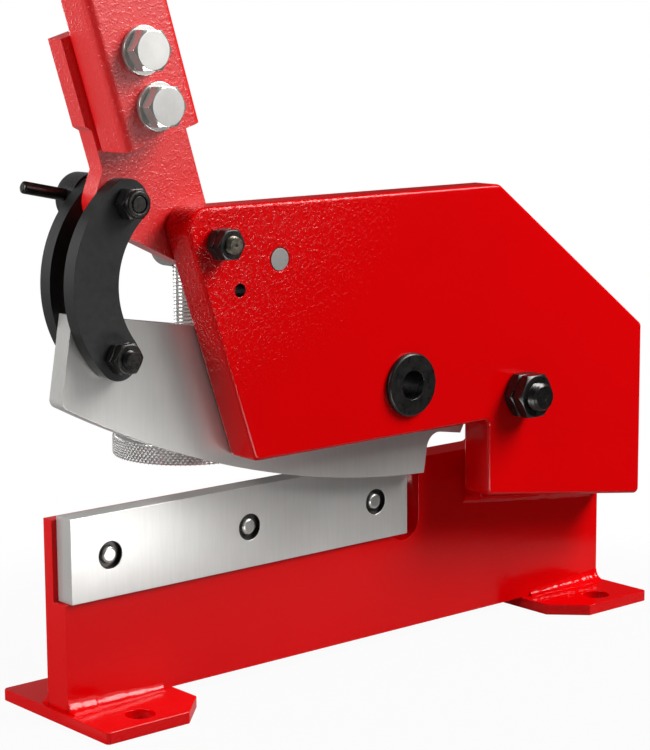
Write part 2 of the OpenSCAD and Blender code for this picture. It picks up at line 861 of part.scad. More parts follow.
module lever_arm() {
    color("crimson")
        difference() {
            plate(y_lever, y_lever + lever_t)
                translate(pin_a)
                    rotate(lever_lean)
                        lever_outline();
            cross_bore(pin_a, lever_bush_d + 2 * fit_gap, y_lever - eps, y_lever + lever_t + eps);
            cross_bore(pin_b, link_pin_d + 2 * run_gap, y_lever - eps, y_lever + lever_t + eps);
            for (p = handle_bolt_places())
                cross_bore(on_lever(p), handle_bolt_d + 2 * bolt_gap, y_lever - eps, y_lever + lever_t + eps);
        }
}

module lever_bush() {
    color("goldenrod")
        toward_far(pin_a, y_lever)
            washer(lever_bolt_d + 2 * run_gap, lever_bush_d, lever_t);
}

// The outline of a rectangular tube or sleeve, square to the arm
module tube_outline(w, d, r) {
    polygon(rounded(
        [[-w / 2, -d / 2], [w / 2, -d / 2], [w / 2, d / 2], [-w / 2, d / 2]],
        [r, r, r, r]
    ));
}

// Puts a piece that was drawn upward along the handle, from a distance along the arm
module on_handle(along) {
    translate([x_lever, y_tube + tube_d / 2, z_lever])
        rotate([0, -lever_lean, 0])
            translate([-tube_across, 0, along])
                children();
}

module handle_tube() {
    color("crimson")
        difference() {
            on_handle(tube_start)
                difference() {
                    linear_extrude(tube_len)
                        tube_outline(tube_w, tube_d, tube_r);
                    translate([0, 0, -eps])
                        linear_extrude(tube_len + 2 * eps)
                            tube_outline(tube_w - 2 * tube_wall, tube_d - 2 * tube_wall, tube_r - tube_wall);
                }
            for (p = handle_bolt_places())
                cross_bore(on_lever(p), handle_bolt_d + 2 * bolt_gap, y_tube - eps, y_lever + eps);
        }
}

module handle_bolts() {
    head_seat = y_tube - washer_t;
    reach = y_lever + lever_t + handle_bolt_d * (nut_per_d + end_per_d) - head_seat;
    color("gainsboro")
        for (p = handle_bolt_places())
            toward_far(on_lever(p), head_seat)
                hex_bolt(handle_bolt_d, handle_bolt_af, reach);
}

module handle_washers() {
    color("gainsboro")
        for (p = handle_bolt_places())
            toward_near(on_lever(p), y_tube)
                washer(handle_bolt_d + 2 * fit_gap, handle_washer_d, washer_t);
}

module handle_nuts() {
    color("gainsboro")
        for (p = handle_bolt_places())
            toward_far(on_lever(p), y_lever + lever_t)
                hex_nut(handle_bolt_d, handle_bolt_af, handle_bolt_d * nut_per_d);
}

// A sleeve with a closed end over the top of the tube
module hand_grip() {
    sleeve = grip_len - grip_wall;
    color("black")
        on_handle(tube_start + tube_len - sleeve)
            difference() {
                linear_extrude(grip_len)
                    tube_outline(tube_w + 2 * grip_wall, tube_d + 2 * grip_wall, tube_r + grip_wall);
                translate([0, 0, -eps])
                    linear_extrude(sleeve + eps)
                        tube_outline(tube_w + 2 * fit_gap, tube_d + 2 * fit_gap, tube_r + fit_gap);
            }
}

// A link's outline with its upper pin at the origin and its lower pin straight below
module link_outline() {
    middle = -link_len / 2;
    outer_r = norm([outer_bow, middle]) + link_eye_r;
    inner_r = norm([inner_bow, middle]) - link_eye_r;
    difference() {
        union() {
            circle(r = link_eye_r);
            translate([0, -link_len])
                circle(r = link_eye_r);
            intersection() {
                translate([outer_bow, middle])
                    circle(r = outer_r, $fn = edge_fn);
                polygon([[outer_bow, middle], [-outer_bow, -middle], [-outer_bow, 3 * middle]]);
            }
        }
        translate([inner_bow, middle])
            circle(r = inner_r, $fn = edge_fn);
    }
}

// A link from y0 toward +Y, with its two bores
module link_plate(y0) {
    difference() {
        plate(y0, y0 + link_t)
            translate(pin_b)
                rotate(-link_angle)
                    link_outline();
        cross_bore(pin_b, link_pin_d + 2 * run_gap, y0 - eps, y0 + link_t + eps);
        cross_bore(pin_c, link_pin_d + 2 * fit_gap, y0 - eps, y0 + link_t + eps);
    }
}

module near_link() {
    color("dimgray")
        link_plate(y_link);
}

module far_link() {
    color("dimgray")
        link_plate(y_pack_far);
}

module lower_link_bolt() {
    head_seat = y_pack_far + link_t;
    color("dimgray")
        toward_near(pin_c, head_seat)
            hex_bolt(link_pin_d, link_af, head_seat - y_link + 2 * link_nut_t + link_pin_d * end_per_d);
}

module lower_link_nut() {
    color("dimgray")
        toward_near(pin_c, y_link)
            rotate(nut_turn)
                hex_nut(link_pin_d, link_af, link_nut_t);
}

module lower_link_lock_nut() {
    color("dimgray")
        toward_near(pin_c, y_link - link_nut_t)
            hex_nut(link_pin_d, link_af, link_nut_t);
}

// A lock nut with a round collar, which stays on the near link
module upper_link_nut() {
    hex_h = link_pin_d * nut_per_d;
    collar_h = link_pin_d * collar_per_d;
    color("dimgray")
        toward_near(pin_b, y_link)
            difference() {
                union() {
                    hex_block(link_af, hex_h);
                    translate([0, 0, hex_h / 2])
                        shank(link_af * hex_round, hex_h / 2 + collar_h);
                }
                translate([0, 0, -eps])
                    cylinder(d = link_pin_d + 2 * run_gap, h = hex_h + collar_h + 2 * eps);
            }
}

// The upper link pin, which is a screw with a cross-drilled hub on the far side
module lock_screw() {
    hub_seat = y_pack_far + link_t + slide_gap;
    pin_len = hub_seat - y_link + link_pin_d * (nut_per_d + collar_per_d);
    color("dimgray")
        difference() {
            union() {
                toward_near(pin_b, hub_seat)
                    shank(link_pin_d, pin_len);
                toward_far(pin_b, hub_seat)
                    shank(hub_d, hub_len);
            }
            bar_line(hub_seat)
                cylinder(d = bar_d + 2 * fit_gap, h = 2 * hub_d, center = true);
        }
}

// Lays an upright piece along the tommy bar, with +Z toward the front
module bar_line(hub_seat) {
    translate([pin_b[0], hub_seat + hub_len / 2, pin_b[1]])
        rotate([0, bar_rise - 90, 0])
            children();
}

module tommy_bar() {
    color("dimgray")
        bar_line(y_pack_far + link_t + slide_gap)
            translate([0, 0, -bar_rear])
                rotate_extrude()
                    polygon([
                        [0, 0], [bar_d / 2 - chamfer, 0], [bar_d / 2, chamfer],
                        [bar_d / 2, bar_front + bar_rear - chamfer],
                        [bar_d / 2 - chamfer, bar_front + bar_rear], [0, bar_front + bar_rear]
                    ]);
}

module hold_down_screw() {
    top = z_hold + holder_d / 2 + screw_above;
    z_foot = z_wheel + pad_recess;
    color("lightgray")
        difference() {
            translate([x_hold, y_hold, z_foot])
                shank(screw_d, top - z_foot);
            translate([x_hold, y_hold, z_foot - eps])
                cylinder(d = pad_stem_d + 2 * run_gap, h = pad_stem_len + slide_gap + eps);
        }
}

// The knurled wheel on the screw's foot, with a recess for the swivel pad
module hold_down_wheel() {
    color("lightgray")
        translate([x_hold, y_hold, z_wheel])
            difference() {
                rotate_extrude()
                    polygon(rounded(
                        [[0, 0], [wheel_d / 2, 0], [wheel_d / 2, wheel_t], [0, wheel_t]],
                        [0, wheel_r, wheel_r, 0]
                    ));
                translate([0, 0, -eps])
                    cylinder(d = screw_d + 2 * fit_gap, h = wheel_t + 2 * eps);
                translate([0, 0, -eps])
                    cylinder(d = pad_d + 4 * slide_gap, h = pad_recess + eps);
            }
}

// The pad that stays still on the sheet while the screw turns above it
module swivel_pad() {
    pad_t = pad_recess + pad_proud - slide_gap;
    color("gray")
        translate([x_hold, y_hold, z_wheel - pad_proud])
            union() {
                cylinder(d = pad_d, h = pad_t);
                shank(pad_stem_d, pad_t + slide_gap + pad_stem_len);
            }
}

frame_plate();
front_foot();
rear_foot();
front_foot_welds();
rear_foot_welds();
lower_blade();
lower_blade_bolts();
lower_blade_washers();
cheek_plate();
cheek_spacer();
spacer_weld_bead();
clamp_bolt();
clamp_washer();
clamp_nut();
clamp_lock_nut();
blade_pivot_bush();
thrust_washer();
retaining_ring();
lever_pivot_bolt();
lever_pivot_washer();
lever_pivot_nut();
lever_pivot_lock_nut();
hold_down_holder();
upper_blade();
lever_arm();
lever_bush();
handle_tube();
handle_bolts();
handle_washers();
handle_nuts();
hand_grip();
near_link();
far_link();
lower_link_bolt();
lower_link_nut();
lower_link_lock_nut();
upper_link_nut();
lock_screw();
tommy_bar();
hold_down_screw();
hold_down_wheel();
swivel_pad();
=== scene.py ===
"""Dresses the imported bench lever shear.

It gets rounded painted plates, ground blades, threads, a knurl, welds and a ribbed grip.
"""
import json
import logging
import math
from collections.abc import Callable, Sequence
from dataclasses import dataclass, field
from enum import Enum
from functools import partial
from typing import ClassVar

import bmesh
import bpy
from mathutils import Matrix, Vector
from mathutils.geometry import delaunay_2d_cdt


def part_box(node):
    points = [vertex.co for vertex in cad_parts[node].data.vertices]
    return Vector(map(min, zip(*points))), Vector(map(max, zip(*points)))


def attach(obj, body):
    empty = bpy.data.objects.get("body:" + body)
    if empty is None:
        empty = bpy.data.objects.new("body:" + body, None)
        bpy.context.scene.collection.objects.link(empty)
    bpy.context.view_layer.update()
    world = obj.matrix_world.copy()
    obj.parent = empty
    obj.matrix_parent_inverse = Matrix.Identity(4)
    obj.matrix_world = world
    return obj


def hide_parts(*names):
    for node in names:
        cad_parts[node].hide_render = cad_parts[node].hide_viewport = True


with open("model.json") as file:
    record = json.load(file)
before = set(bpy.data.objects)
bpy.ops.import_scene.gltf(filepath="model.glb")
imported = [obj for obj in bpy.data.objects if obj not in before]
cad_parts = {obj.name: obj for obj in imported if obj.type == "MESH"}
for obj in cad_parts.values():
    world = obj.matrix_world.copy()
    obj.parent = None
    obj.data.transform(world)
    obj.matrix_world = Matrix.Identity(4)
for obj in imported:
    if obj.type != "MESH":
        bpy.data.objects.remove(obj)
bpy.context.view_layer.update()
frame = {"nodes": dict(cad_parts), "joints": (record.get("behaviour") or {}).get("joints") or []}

log = logging.getLogger("lever_shear")

MM = 0.001
TO_MM = 1000
SHARP = math.radians(28)  # A corner that turns more is rounded, or kept crisp.
CREASE = math.radians(30)  # The same for what the node trees make.
LEVEL = math.radians(0.6)  # Faces that turn less are joined to one.
SAME_PLANE = 0.99999  # The least cosine between the normals of one flat region.
SAME_SPOT = 2e-6  # Points closer than this are one.
TINY = 1e-6
NO_LENGTH = 1e-7
FILL_GAP = 1e-5  # In millimetres: the refill takes closer corners as one.

Socket = bpy.types.NodeSocket
Node = bpy.types.Node
NodeTree = bpy.types.NodeTree
Material = bpy.types.Material
Piece = bpy.types.Object
Edge = bmesh.types.BMEdge
Face = bmesh.types.BMFace
AddNode = Callable[..., Node]
Weigh = Callable[[Edge], float]
Spot = tuple[float, float, float]


class Slot(Enum):
    """The material slots of the record."""

    RED = "red_paint"
    STEEL = "ground_steel"
    BLACK = "black_oxide"
    ZINC = "zinc"
    BRONZE = "bronze"
    RUBBER = "grip_rubber"


class Finish(Enum):
    """The finishes: the material's name, its slot, and the word that ends its pieces' names."""

    RED = ("red powder coat", Slot.RED, "painted")
    HANDLE = ("fine-textured red powder coat", Slot.RED, "painted")
    STEEL = ("surface-ground tool steel", Slot.STEEL, "ground")
    OXIDE = ("black oxide plate", Slot.BLACK, "black")
    BLACK = ("blackened fastener", Slot.BLACK, "black")
    STUD = ("phosphated stud", Slot.BLACK, "black")
    ZINC = ("bright zinc plate", Slot.ZINC, "plated")
    TURNED = ("turned bright steel", Slot.ZINC, "turned")
    BAR = ("drawn bright bar", Slot.ZINC, "bright")
    BRONZE = ("sintered bronze", Slot.BRONZE, "bronze")
    RUBBER = ("moulded grip rubber", Slot.RUBBER, "ribbed")

    def __init__(self, label: str, slot: Slot, word: str) -> None:
        """Keeps the parts of the value."""
        self.label, self.slot, self.word = label, slot, word


def linear(code: str) -> tuple[float, float, float, float]:
    """Turns an sRGB hex value into a linear colour.

    Args:
        code: Six hex digits after a hash sign.

    Returns:
        Linear red, green, blue and an alpha of one.
    """
    parts = [int(code[i:i + 2], 16) / 255 for i in (1, 3, 5)]
    return (*(v / 12.92 if v <= 0.04045 else ((v + 0.055) / 1.055) ** 2.4 for v in parts), 1.0)


def plug(node: Node, inputs: dict) -> None:
    """Sets and links a node's inputs.

    Args:
        node: The node.
        inputs: For each input, by name or number, a value, an output, or a node for its first
            live output.
    """
    for key, value in inputs.items():
        if isinstance(value, Node):
            value = next(socket for socket in value.outputs if socket.enabled)
        if isinstance(value, Socket):
            node.id_data.links.new(value, node.inputs[key])
        else:
            node.inputs[key].default_value = value


def add(tree: NodeTree, kind: str, inputs: dict | None = None, **settings: object) -> Node:
    """Adds one node with its settings, values and links.

    Args:
        tree: The node tree.
        kind: The node's type name.
        inputs: Its inputs, as for plug.
        settings: Attributes of the node.

    Returns:
        The new node.
    """
    node = tree.nodes.new(kind)
    for key, value in settings.items():
        setattr(node, key, value)
    plug(node, inputs or {})
    return node


def blank(name: str) -> tuple[Material, AddNode, Node, Socket]:
    """Starts a material.

    Args:
        name: The material's name.

    Returns:
        The material, add for its tree, its shader and its Object coordinates.
    """
    material = bpy.data.materials.new(name)
    material.use_nodes = True
    new = partial(add, material.node_tree)
    coords = new("ShaderNodeTexCoord").outputs["Object"]
    return material, new, material.node_tree.nodes["Principled BSDF"], coords


@dataclass(frozen=True)
class PowderCoat:
    """Red powder coat, baked on: a hard glossy skin that flows into a coarse orange peel.

    The eye sees a deep even red, with the lamp's reflection broken into small wrinkles. The peel
    is strong in a zone round one point and fades to its smooth share outside it.
    """

    colour: str = "#D40003"
    shade: str = "#CA0003"
    roughness: float = 0.11
    rough_zone: float = 0.08
    specular: float = 0.22
    cloud: float = 60 * MM
    peel: float = 2.0 * MM
    peel_depth: float = 0.16 * MM
    ridge: tuple[float, float] = (0.44, 0.66)
    zone: Spot = (-0.13, -0.02, 0.27)
    zone_reach: tuple[float, float] = (0.07, 0.15)
    smooth_share: float = 0.12

    def make(self, name: str) -> Material:
        """Builds the paint.

        Args:
            name: The material's name.

        Returns:
            The material.
        """
        material, new, skin, coords = blank(name)
        cloud = new("ShaderNodeTexNoise", {
            "Vector": coords, "Scale": 1 / self.cloud, "Detail": 2.0})
        tint = new("ShaderNodeMix", {
            0: cloud, 6: linear(self.colour), 7: linear(self.shade)}, data_type="RGBA")
        peel = new("ShaderNodeTexNoise", {
            "Vector": coords, "Scale": 1 / self.peel, "Detail": 1.5, "Roughness": 0.5,
            "Distortion": 0.9})
        ridge = new("ShaderNodeMapRange", {
            "Value": peel, "From Min": self.ridge[0], "From Max": self.ridge[1]},
            interpolation_type="SMOOTHSTEP")
        apart = new("ShaderNodeVectorMath", {0: coords, 1: self.zone}, operation="DISTANCE")
        share = new("ShaderNodeMapRange", {
            "Value": apart, "From Min": self.zone_reach[0], "From Max": self.zone_reach[1],
            "To Min": 1.0, "To Max": self.smooth_share}, interpolation_type="SMOOTHSTEP")
        gloss = new("ShaderNodeMath", {
            0: share, 1: self.rough_zone, 2: self.roughness}, operation="MULTIPLY_ADD")
        wrinkle = new("ShaderNodeBump", {
            "Height": ridge, "Strength": share, "Distance": self.peel_depth})
        plug(skin, {"Base Color": tint, "Roughness": gloss, "Normal": wrinkle,
                    "Specular IOR Level": self.specular})
        return material


@dataclass(frozen=True)
class Grained:
    """A bare or plated metal, or a rubber, with a fine grain. Its sizes are in millimetres.

    The eye sees a soft reflection, combed along the grain and broken by slight stains.
    """

    colour: str
    shade: str
    roughness: float
    spread: float
    grain: Spot
    depth: float
    stain: float = 35
    metallic: float = 1.0
    specular: float = 0.5
    line_share: float = 0.6
    tint_reach: tuple[float, float] = (0.55, 1.05)
    gloss_reach: tuple[float, float] = (0.3, 0.7)

    def make(self, name: str) -> Material:
        """Builds the metal or rubber.

        Args:
            name: The material's name.

        Returns:
            The material.
        """
        material, new, skin, coords = blank(name)
        combed = new("ShaderNodeMapping", {
            "Vector": coords, "Scale": tuple(1 / (size * MM) for size in self.grain)})
        lines = new("ShaderNodeTexNoise", {
            "Vector": combed, "Scale": 1.0, "Detail": 3.0, "Roughness": 0.6})
        stain = new("ShaderNodeTexNoise", {
            "Vector": coords, "Scale": 1 / (self.stain * MM), "Detail": 3.0})
        both = new("ShaderNodeMath", {
            0: lines, 1: self.line_share, 2: stain}, operation="MULTIPLY_ADD")
        level = new("ShaderNodeMapRange", {
            "Value": both, "From Min": self.tint_reach[0], "From Max": self.tint_reach[1]})
        tint = new("ShaderNodeMix", {
            0: level, 6: linear(self.shade), 7: linear(self.colour)}, data_type="RGBA")
        gloss = new("ShaderNodeMapRange", {
            "Value": lines, "From Min": self.gloss_reach[0], "From Max": self.gloss_reach[1],
            "To Min": self.roughness - self.spread, "To Max": self.roughness + self.spread})
        score = new("ShaderNodeBump", {
            "Height": lines, "Strength": 1.0, "Distance": self.depth * MM})
        plug(skin, {"Base Color": tint, "Roughness": gloss, "Normal": score,
                    "Metallic": self.metallic, "Specular IOR Level": self.specular})
        return material


# A grained finish has two colours, roughness and its spread, the grain's size along X, Y and Z and
# its depth, the stains' size, how metallic it is, and its specular level.
RECIPES: dict[Finish, PowderCoat | Grained] = {
    Finish.RED: PowderCoat(),
    # The handle's coat is textured all over, and its tiny bumps scatter a paler sheen.
    Finish.HANDLE: PowderCoat("#DE070B", "#D60609", 0.24, specular=1.0, peel=1.7 * MM,
                              peel_depth=0.065 * MM, zone_reach=(0.2, 0.5)),
    # Grinding marks run up the blade; real ones are near 0.1 mm, drawn coarser so that they show.
    Finish.STEEL: Grained("#D0CFCC", "#C5C4C1", 0.28, 0.005, (1.1, 1.1, 22), 0.0006, metallic=0.5),
    # Blackened hot-rolled plate: dark, even and almost matte.
    Finish.OXIDE: Grained("#1E1F1E", "#161716", 0.46, 0.05, (2.2, 2.2, 2.2), 0.01, 18, 0.0, 0.28),
    # Blackened and oiled fasteners: metallic, and glossier than the plate.
    Finish.BLACK: Grained("#464443", "#333231", 0.3, 0.04, (2, 2, 2), 0.002, 6, 0.9),
    # A phosphated stud, its crests rubbed to bare steel.
    Finish.STUD: Grained("#857D70", "#5A554D", 0.34, 0.05, (2, 2, 2), 0.002, 4, 0.9),
    # Bright zinc: a pale skin with a slight cloud.
    Finish.ZINC: Grained("#CDCCC8", "#BDBCB8", 0.2, 0.04, (1.5, 1.5, 1.5), 0.002, 9, 0.7),
    # Turned bright steel: fine rings that a lathe leaves.
    Finish.TURNED: Grained("#DEDEDC", "#CACAC8", 0.18, 0.03, (6, 6, 0.5), 0.003, 12, 0.7),
    # Drawn bar: smooth, with its marks along the bar.
    Finish.BAR: Grained("#A5A3A1", "#928F8D", 0.4, 0.04, (0.8, 12, 0.8), 0.001, 14, 0.7),
    # Sintered bronze: a warm matte metal with open pores.
    Finish.BRONZE: Grained("#B98A48", "#9B7038", 0.45, 0.08, (0.5, 0.5, 0.5), 0.01, 8),
    # Moulded rubber: a dull black skin with a fine spark-eroded grain.
    Finish.RUBBER: Grained("#232324", "#19191A", 0.62, 0.06, (0.9, 0.9, 0.9), 0.03, 20, 0.0, 0.4),
}


def joint_place(name: str) -> Vector:
    """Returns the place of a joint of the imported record, in metres."""
    found = next(joint for joint in frame["joints"] if joint["name"] == name)
    return Vector(found["pos_m"])


def middle(node: str) -> Vector:
    """Returns the middle of a CAD node's box, in metres."""
    low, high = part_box(node)
    return (low + high) / 2


def put_in(name: str, bm: bmesh.types.BMesh) -> Piece:
    """Puts a mesh into the scene as an object at the origin.

    Args:
        name: The object's name.
        bm: Its mesh, which is used up.

    Returns:
        The object.
    """
    mesh = bpy.data.meshes.new(name)
    bm.to_mesh(mesh)
    bm.free()
    piece = bpy.data.objects.new(name, mesh)
    bpy.context.scene.collection.objects.link(piece)
    return piece


def settle(piece: Piece) -> Piece:
    """Turns an object and its modifiers into a plain mesh.

    Args:
        piece: The object.

    Returns:
        The same object, with no modifier left.
    """
    graph = bpy.context.evaluated_depsgraph_get()
    graph.update()
    mesh = bpy.data.meshes.new_from_object(piece.evaluated_get(graph),
                                           preserve_all_data_layers=True, depsgraph=graph)
    piece.modifiers.clear()
    piece.data = mesh
    return piece


def merged(node: str) -> bmesh.types.BMesh:
    """Copies a CAD node's loose triangles as joined flat faces.

    Args:
        node: The CAD node.

    Returns:
        The joined mesh.
    """
    bm = bmesh.new()
    bm.from_mesh(frame["nodes"][node].data)
    bmesh.ops.remove_doubles(bm, verts=bm.verts, dist=SAME_SPOT)
    bmesh.ops.dissolve_limit(bm, angle_limit=LEVEL, verts=bm.verts, edges=bm.edges, delimit=set())
    return bm


def eased(name: str, bm: bmesh.types.BMesh, radius: float, weigh: Weigh | None = None,
          segments: int = 3) -> Piece:
    """Rounds the outer corners of a joined mesh.

    Args:
        name: The new object's name.
        bm: The joined mesh, which is used up.
        radius: The radius of the rounding.
        weigh: The share of the radius that a corner gets, or none for all of it.
        segments: Faces across the rounding.

    Returns:
        The rounded piece.
    """
    layers = bm.edges.layers.float
    weights = layers.get("bevel_weight_edge") or layers.new("bevel_weight_edge")
    for edge in bm.edges:
        if edge.calc_face_angle(0.0) > SHARP:
            if edge.is_convex:
                edge[weights] = weigh(edge) if weigh else 1.0
            else:
                edge.smooth = False
    for face in bm.faces:
        face.smooth = True
    piece = put_in(name, bm)
    bevel = piece.modifiers.new("eased", "BEVEL")
    bevel.limit_method = "WEIGHT"
    bevel.width = radius
    bevel.segments = segments
    bevel.loop_slide = False
    settle(piece)
    refill(piece.data)
    shade = piece.modifiers.new("shade", "WEIGHTED_NORMAL")
    shade.weight = 100
    shade.keep_sharp = True
    return settle(piece)


def refill(mesh: bpy.types.Mesh) -> None:
    """Fills every flat many-sided face again with triangles that leave its holes open.

    Args:
        mesh: The mesh, changed in place.
    """
    bm = bmesh.new()
    bm.from_mesh(mesh)
    waiting = dict.fromkeys(face for face in bm.faces if len(face.verts) > 4)
    while waiting:
        region = flat_region(next(iter(waiting)))
        for face in region:
            waiting.pop(face, None)
        normal = max(region, key=lambda face: face.calc_area()).normal.copy()
        rim = [edge for edge in dict.fromkeys(edge for face in region for edge in face.edges)
               if sum(face in region for face in edge.link_faces) == 1]
        verts = list(dict.fromkeys(vert for edge in rim for vert in edge.verts))
        number = {vert: i for i, vert in enumerate(verts)}
        across = normal.orthogonal().normalized()
        upward = normal.cross(across)
        flat = [Vector((vert.co.dot(across), vert.co.dot(upward))) * TO_MM for vert in verts]
        lines = [(number[edge.verts[0]], number[edge.verts[1]]) for edge in rim]
        spots, _, faces, origin, _, _ = delaunay_2d_cdt(flat, lines, [], 0, FILL_GAP)
        if not all(origin):
            log.warning("%s: rims cross on a face of %d corners", mesh.name, len(verts))
            continue
        bmesh.ops.delete(bm, geom=list(region), context="FACES_KEEP_BOUNDARY")
        for face in faces:
            # In plain floats, because a Vector's are too coarse for the thinnest triangles.
            x, y = (sum(spots[i][axis] for i in face) / len(face) for axis in (0, 1))
            corners = [verts[origin[i][0]] for i in face]
            if inside(x, y, flat, lines) and bm.faces.get(corners) is None:
                made = bm.faces.new(corners)
                made.smooth = True
                made.normal_update()
                if made.normal.dot(normal) < 0:
                    made.normal_flip()
    bm.to_mesh(mesh)
    bm.free()


def flat_region(start: Face) -> dict[Face, None]:
    """Finds the faces that join a face in its own plane.

    Args:
        start: The face.

    Returns:
        The faces, always in the same order.
    """
    region, front = {start: None}, [start]
    while front:
        for edge in front.pop().edges:
            for other in edge.link_faces:
                if other not in region and other.normal.dot(start.normal) > SAME_PLANE:
                    region[other] = None
                    front.append(other)
    return region


def inside(x: float, y: float, corners: Sequence[Vector],
           lines: Sequence[tuple[int, int]]) -> bool:
    """Tells whether a point lies inside closed lines, with holes left out.

    Args:
        x: The point's first coordinate.
        y: The point's second coordinate.
        corners: The corners of the lines.
        lines: The two corners of each line.

    Returns:
        True inside.
    """
    odd = False
    for first, second in lines:
        a, b = corners[first], corners[second]
        if (a.y > y) != (b.y > y) and x < (b.x - a.x) * (y - a.y) / (b.y - a.y) + a.x:
            odd = not odd
    return odd


def near_bore(places: Sequence[tuple[Vector, float]], share: float) -> Weigh:
    """Makes a rule that eases the rims of cross bores less than the outline.

    Args:
        places: A point on each bore's axis, and the radius within which its rim lies.
        share: The share of the rounding that a rim gets.

    Returns:
        The rule.
    """

    def weigh(edge: Edge) -> float:
        """Gives one edge's share.

        Args:
            edge: The edge.

        Returns:
            Its share of the rounding.
        """
        spot = (edge.verts[0].co + edge.verts[1].co) / 2
        near = (math.hypot(spot.x - at.x, spot.z - at.z) < radius for at, radius in places)
        return share if any(near) else 1.0

    return weigh


def joined(name: str, parts: Sequence[Piece]) -> Piece:
    """Joins pieces into one mesh.

    Args:
        name: The new piece's name.
        parts: The pieces, which are used up.

    Returns:
        The joined piece, with the materials of all.
    """
    bm = bmesh.new()
    materials: list[Material] = []
    for part in parts:
        start = len(bm.faces)
        bm.from_mesh(part.data)
        bm.faces.ensure_lookup_table()
        materials += [one for one in part.data.materials if one not in materials]
        slots = [materials.index(one) for one in part.data.materials]
        for face in bm.faces[start:]:
            face.material_index = slots[face.material_index]
        bpy.data.objects.remove(part)
    piece = put_in(name, bm)
    for material in materials:
        piece.data.materials.append(material)
    return piece


@dataclass
class Tree:
    """A Geometry Nodes tree with named inputs, run once for each piece."""

    name: str
    floats: tuple[str, ...]
    ints: tuple[str, ...] = ()
    tree: NodeTree = field(init=False)
    new: AddNode = field(init=False)
    known: dict[str, Node | Socket] = field(init=False)

    def __post_init__(self) -> None:
        """Starts the tree with its numbers and a material as inputs."""
        self.tree = bpy.data.node_groups.new(self.name, "GeometryNodeTree")
        self.new = partial(add, self.tree)
        sockets = self.tree.interface
        sockets.new_socket("Geometry", in_out="OUTPUT", socket_type="NodeSocketGeometry")
        kinds = {"Float": self.floats, "Int": self.ints, "Material": ("material",)}
        for kind, names in kinds.items():
            for name in names:
                sockets.new_socket(name, in_out="INPUT", socket_type=f"NodeSocket{kind}")
        self.known = {socket.name: socket for socket in self.new("NodeGroupInput").outputs}

    def points(self, columns: int | Socket, rows: int | Socket) -> Node:
        """Starts from a flat sheet of points, whose places are then known as x and y.

        Args:
            columns: Points along X.
            rows: Points along Y.

        Returns:
            The sheet.
        """
        sheet = self.new("GeometryNodeMeshGrid", {
            "Size X": 1.0, "Size Y": 1.0, "Vertices X": columns, "Vertices Y": rows})
        spot = self.new("ShaderNodeSeparateXYZ", {0: self.new("GeometryNodeInputPosition")})
        self.known |= {"x": spot.outputs["X"], "y": spot.outputs["Y"]}
        return sheet

    def work_out(self, *rows: tuple) -> None:
        """Adds a node for each row of a table, and keeps it under the row's name.

        Args:
            rows: A name, a kind of node or the operation of a Math node, and a value or a known
                name for each input.
        """
        for name, word, *values in rows:
            kind, settings = ("Math", {"operation": word}) if word.isupper() else (word, {})
            inputs = {i: self.known[value] if isinstance(value, str) else value
                      for i, value in enumerate(values)}
            self.known[name] = self.new(f"ShaderNode{kind}", inputs, **settings)

    def close(self, geometry: Node) -> "Tree":
        """Ends the tree in realized instances with a material.

        Args:
            geometry: What the tree has made.

        Returns:
            The tree itself.
        """
        solid = self.new("GeometryNodeRealizeInstances", {"Geometry": geometry})
        dressed = self.new("GeometryNodeSetMaterial", {
            "Geometry": solid, "Material": self.known["material"]})
        self.new("NodeGroupOutput", {"Geometry": dressed})
        return self

    def run(self, name: str, place: Matrix, **values: object) -> Piece:
        """Runs the tree and keeps the result as a plain mesh.

        Args:
            name: The new object's name.
            place: Where the result goes.
            values: A value for each named input.

        Returns:
            The piece.
        """
        piece = put_in(name, bmesh.new())
        modifier = piece.modifiers.new(self.name, "NODES")
        modifier.node_group = self.tree
        for item in self.tree.interface.items_tree:
            if item.in_out == "INPUT":
                modifier[item.identifier] = values[item.name]
        settle(piece)
        bm = bmesh.new()
        bm.from_mesh(piece.data)
        bmesh.ops.remove_doubles(bm, verts=bm.verts, dist=TINY)
        bmesh.ops.dissolve_degenerate(bm, edges=bm.edges, dist=NO_LENGTH)
        bm.transform(place)
        bmesh.ops.recalc_face_normals(bm, faces=bm.faces)
        bm.to_mesh(piece.data)
        bm.free()
        piece.data.shade_smooth()
        piece.data.set_sharp_from_angle(angle=CREASE)
        return piece


THREAD_SIDES = 40
THREAD_ROWS = 6
# Rows that turn an angle, a radius and a height into a place about +Z.
ROUND_THE_AXIS = (
    ("cosine", "COSINE", "angle"),
    ("sine", "SINE", "angle"),
    ("place_x", "MULTIPLY", "radius", "cosine"),
    ("place_y", "MULTIPLY", "radius", "sine"),
    ("where", "CombineXYZ", "place_x", "place_y", "height"),
)


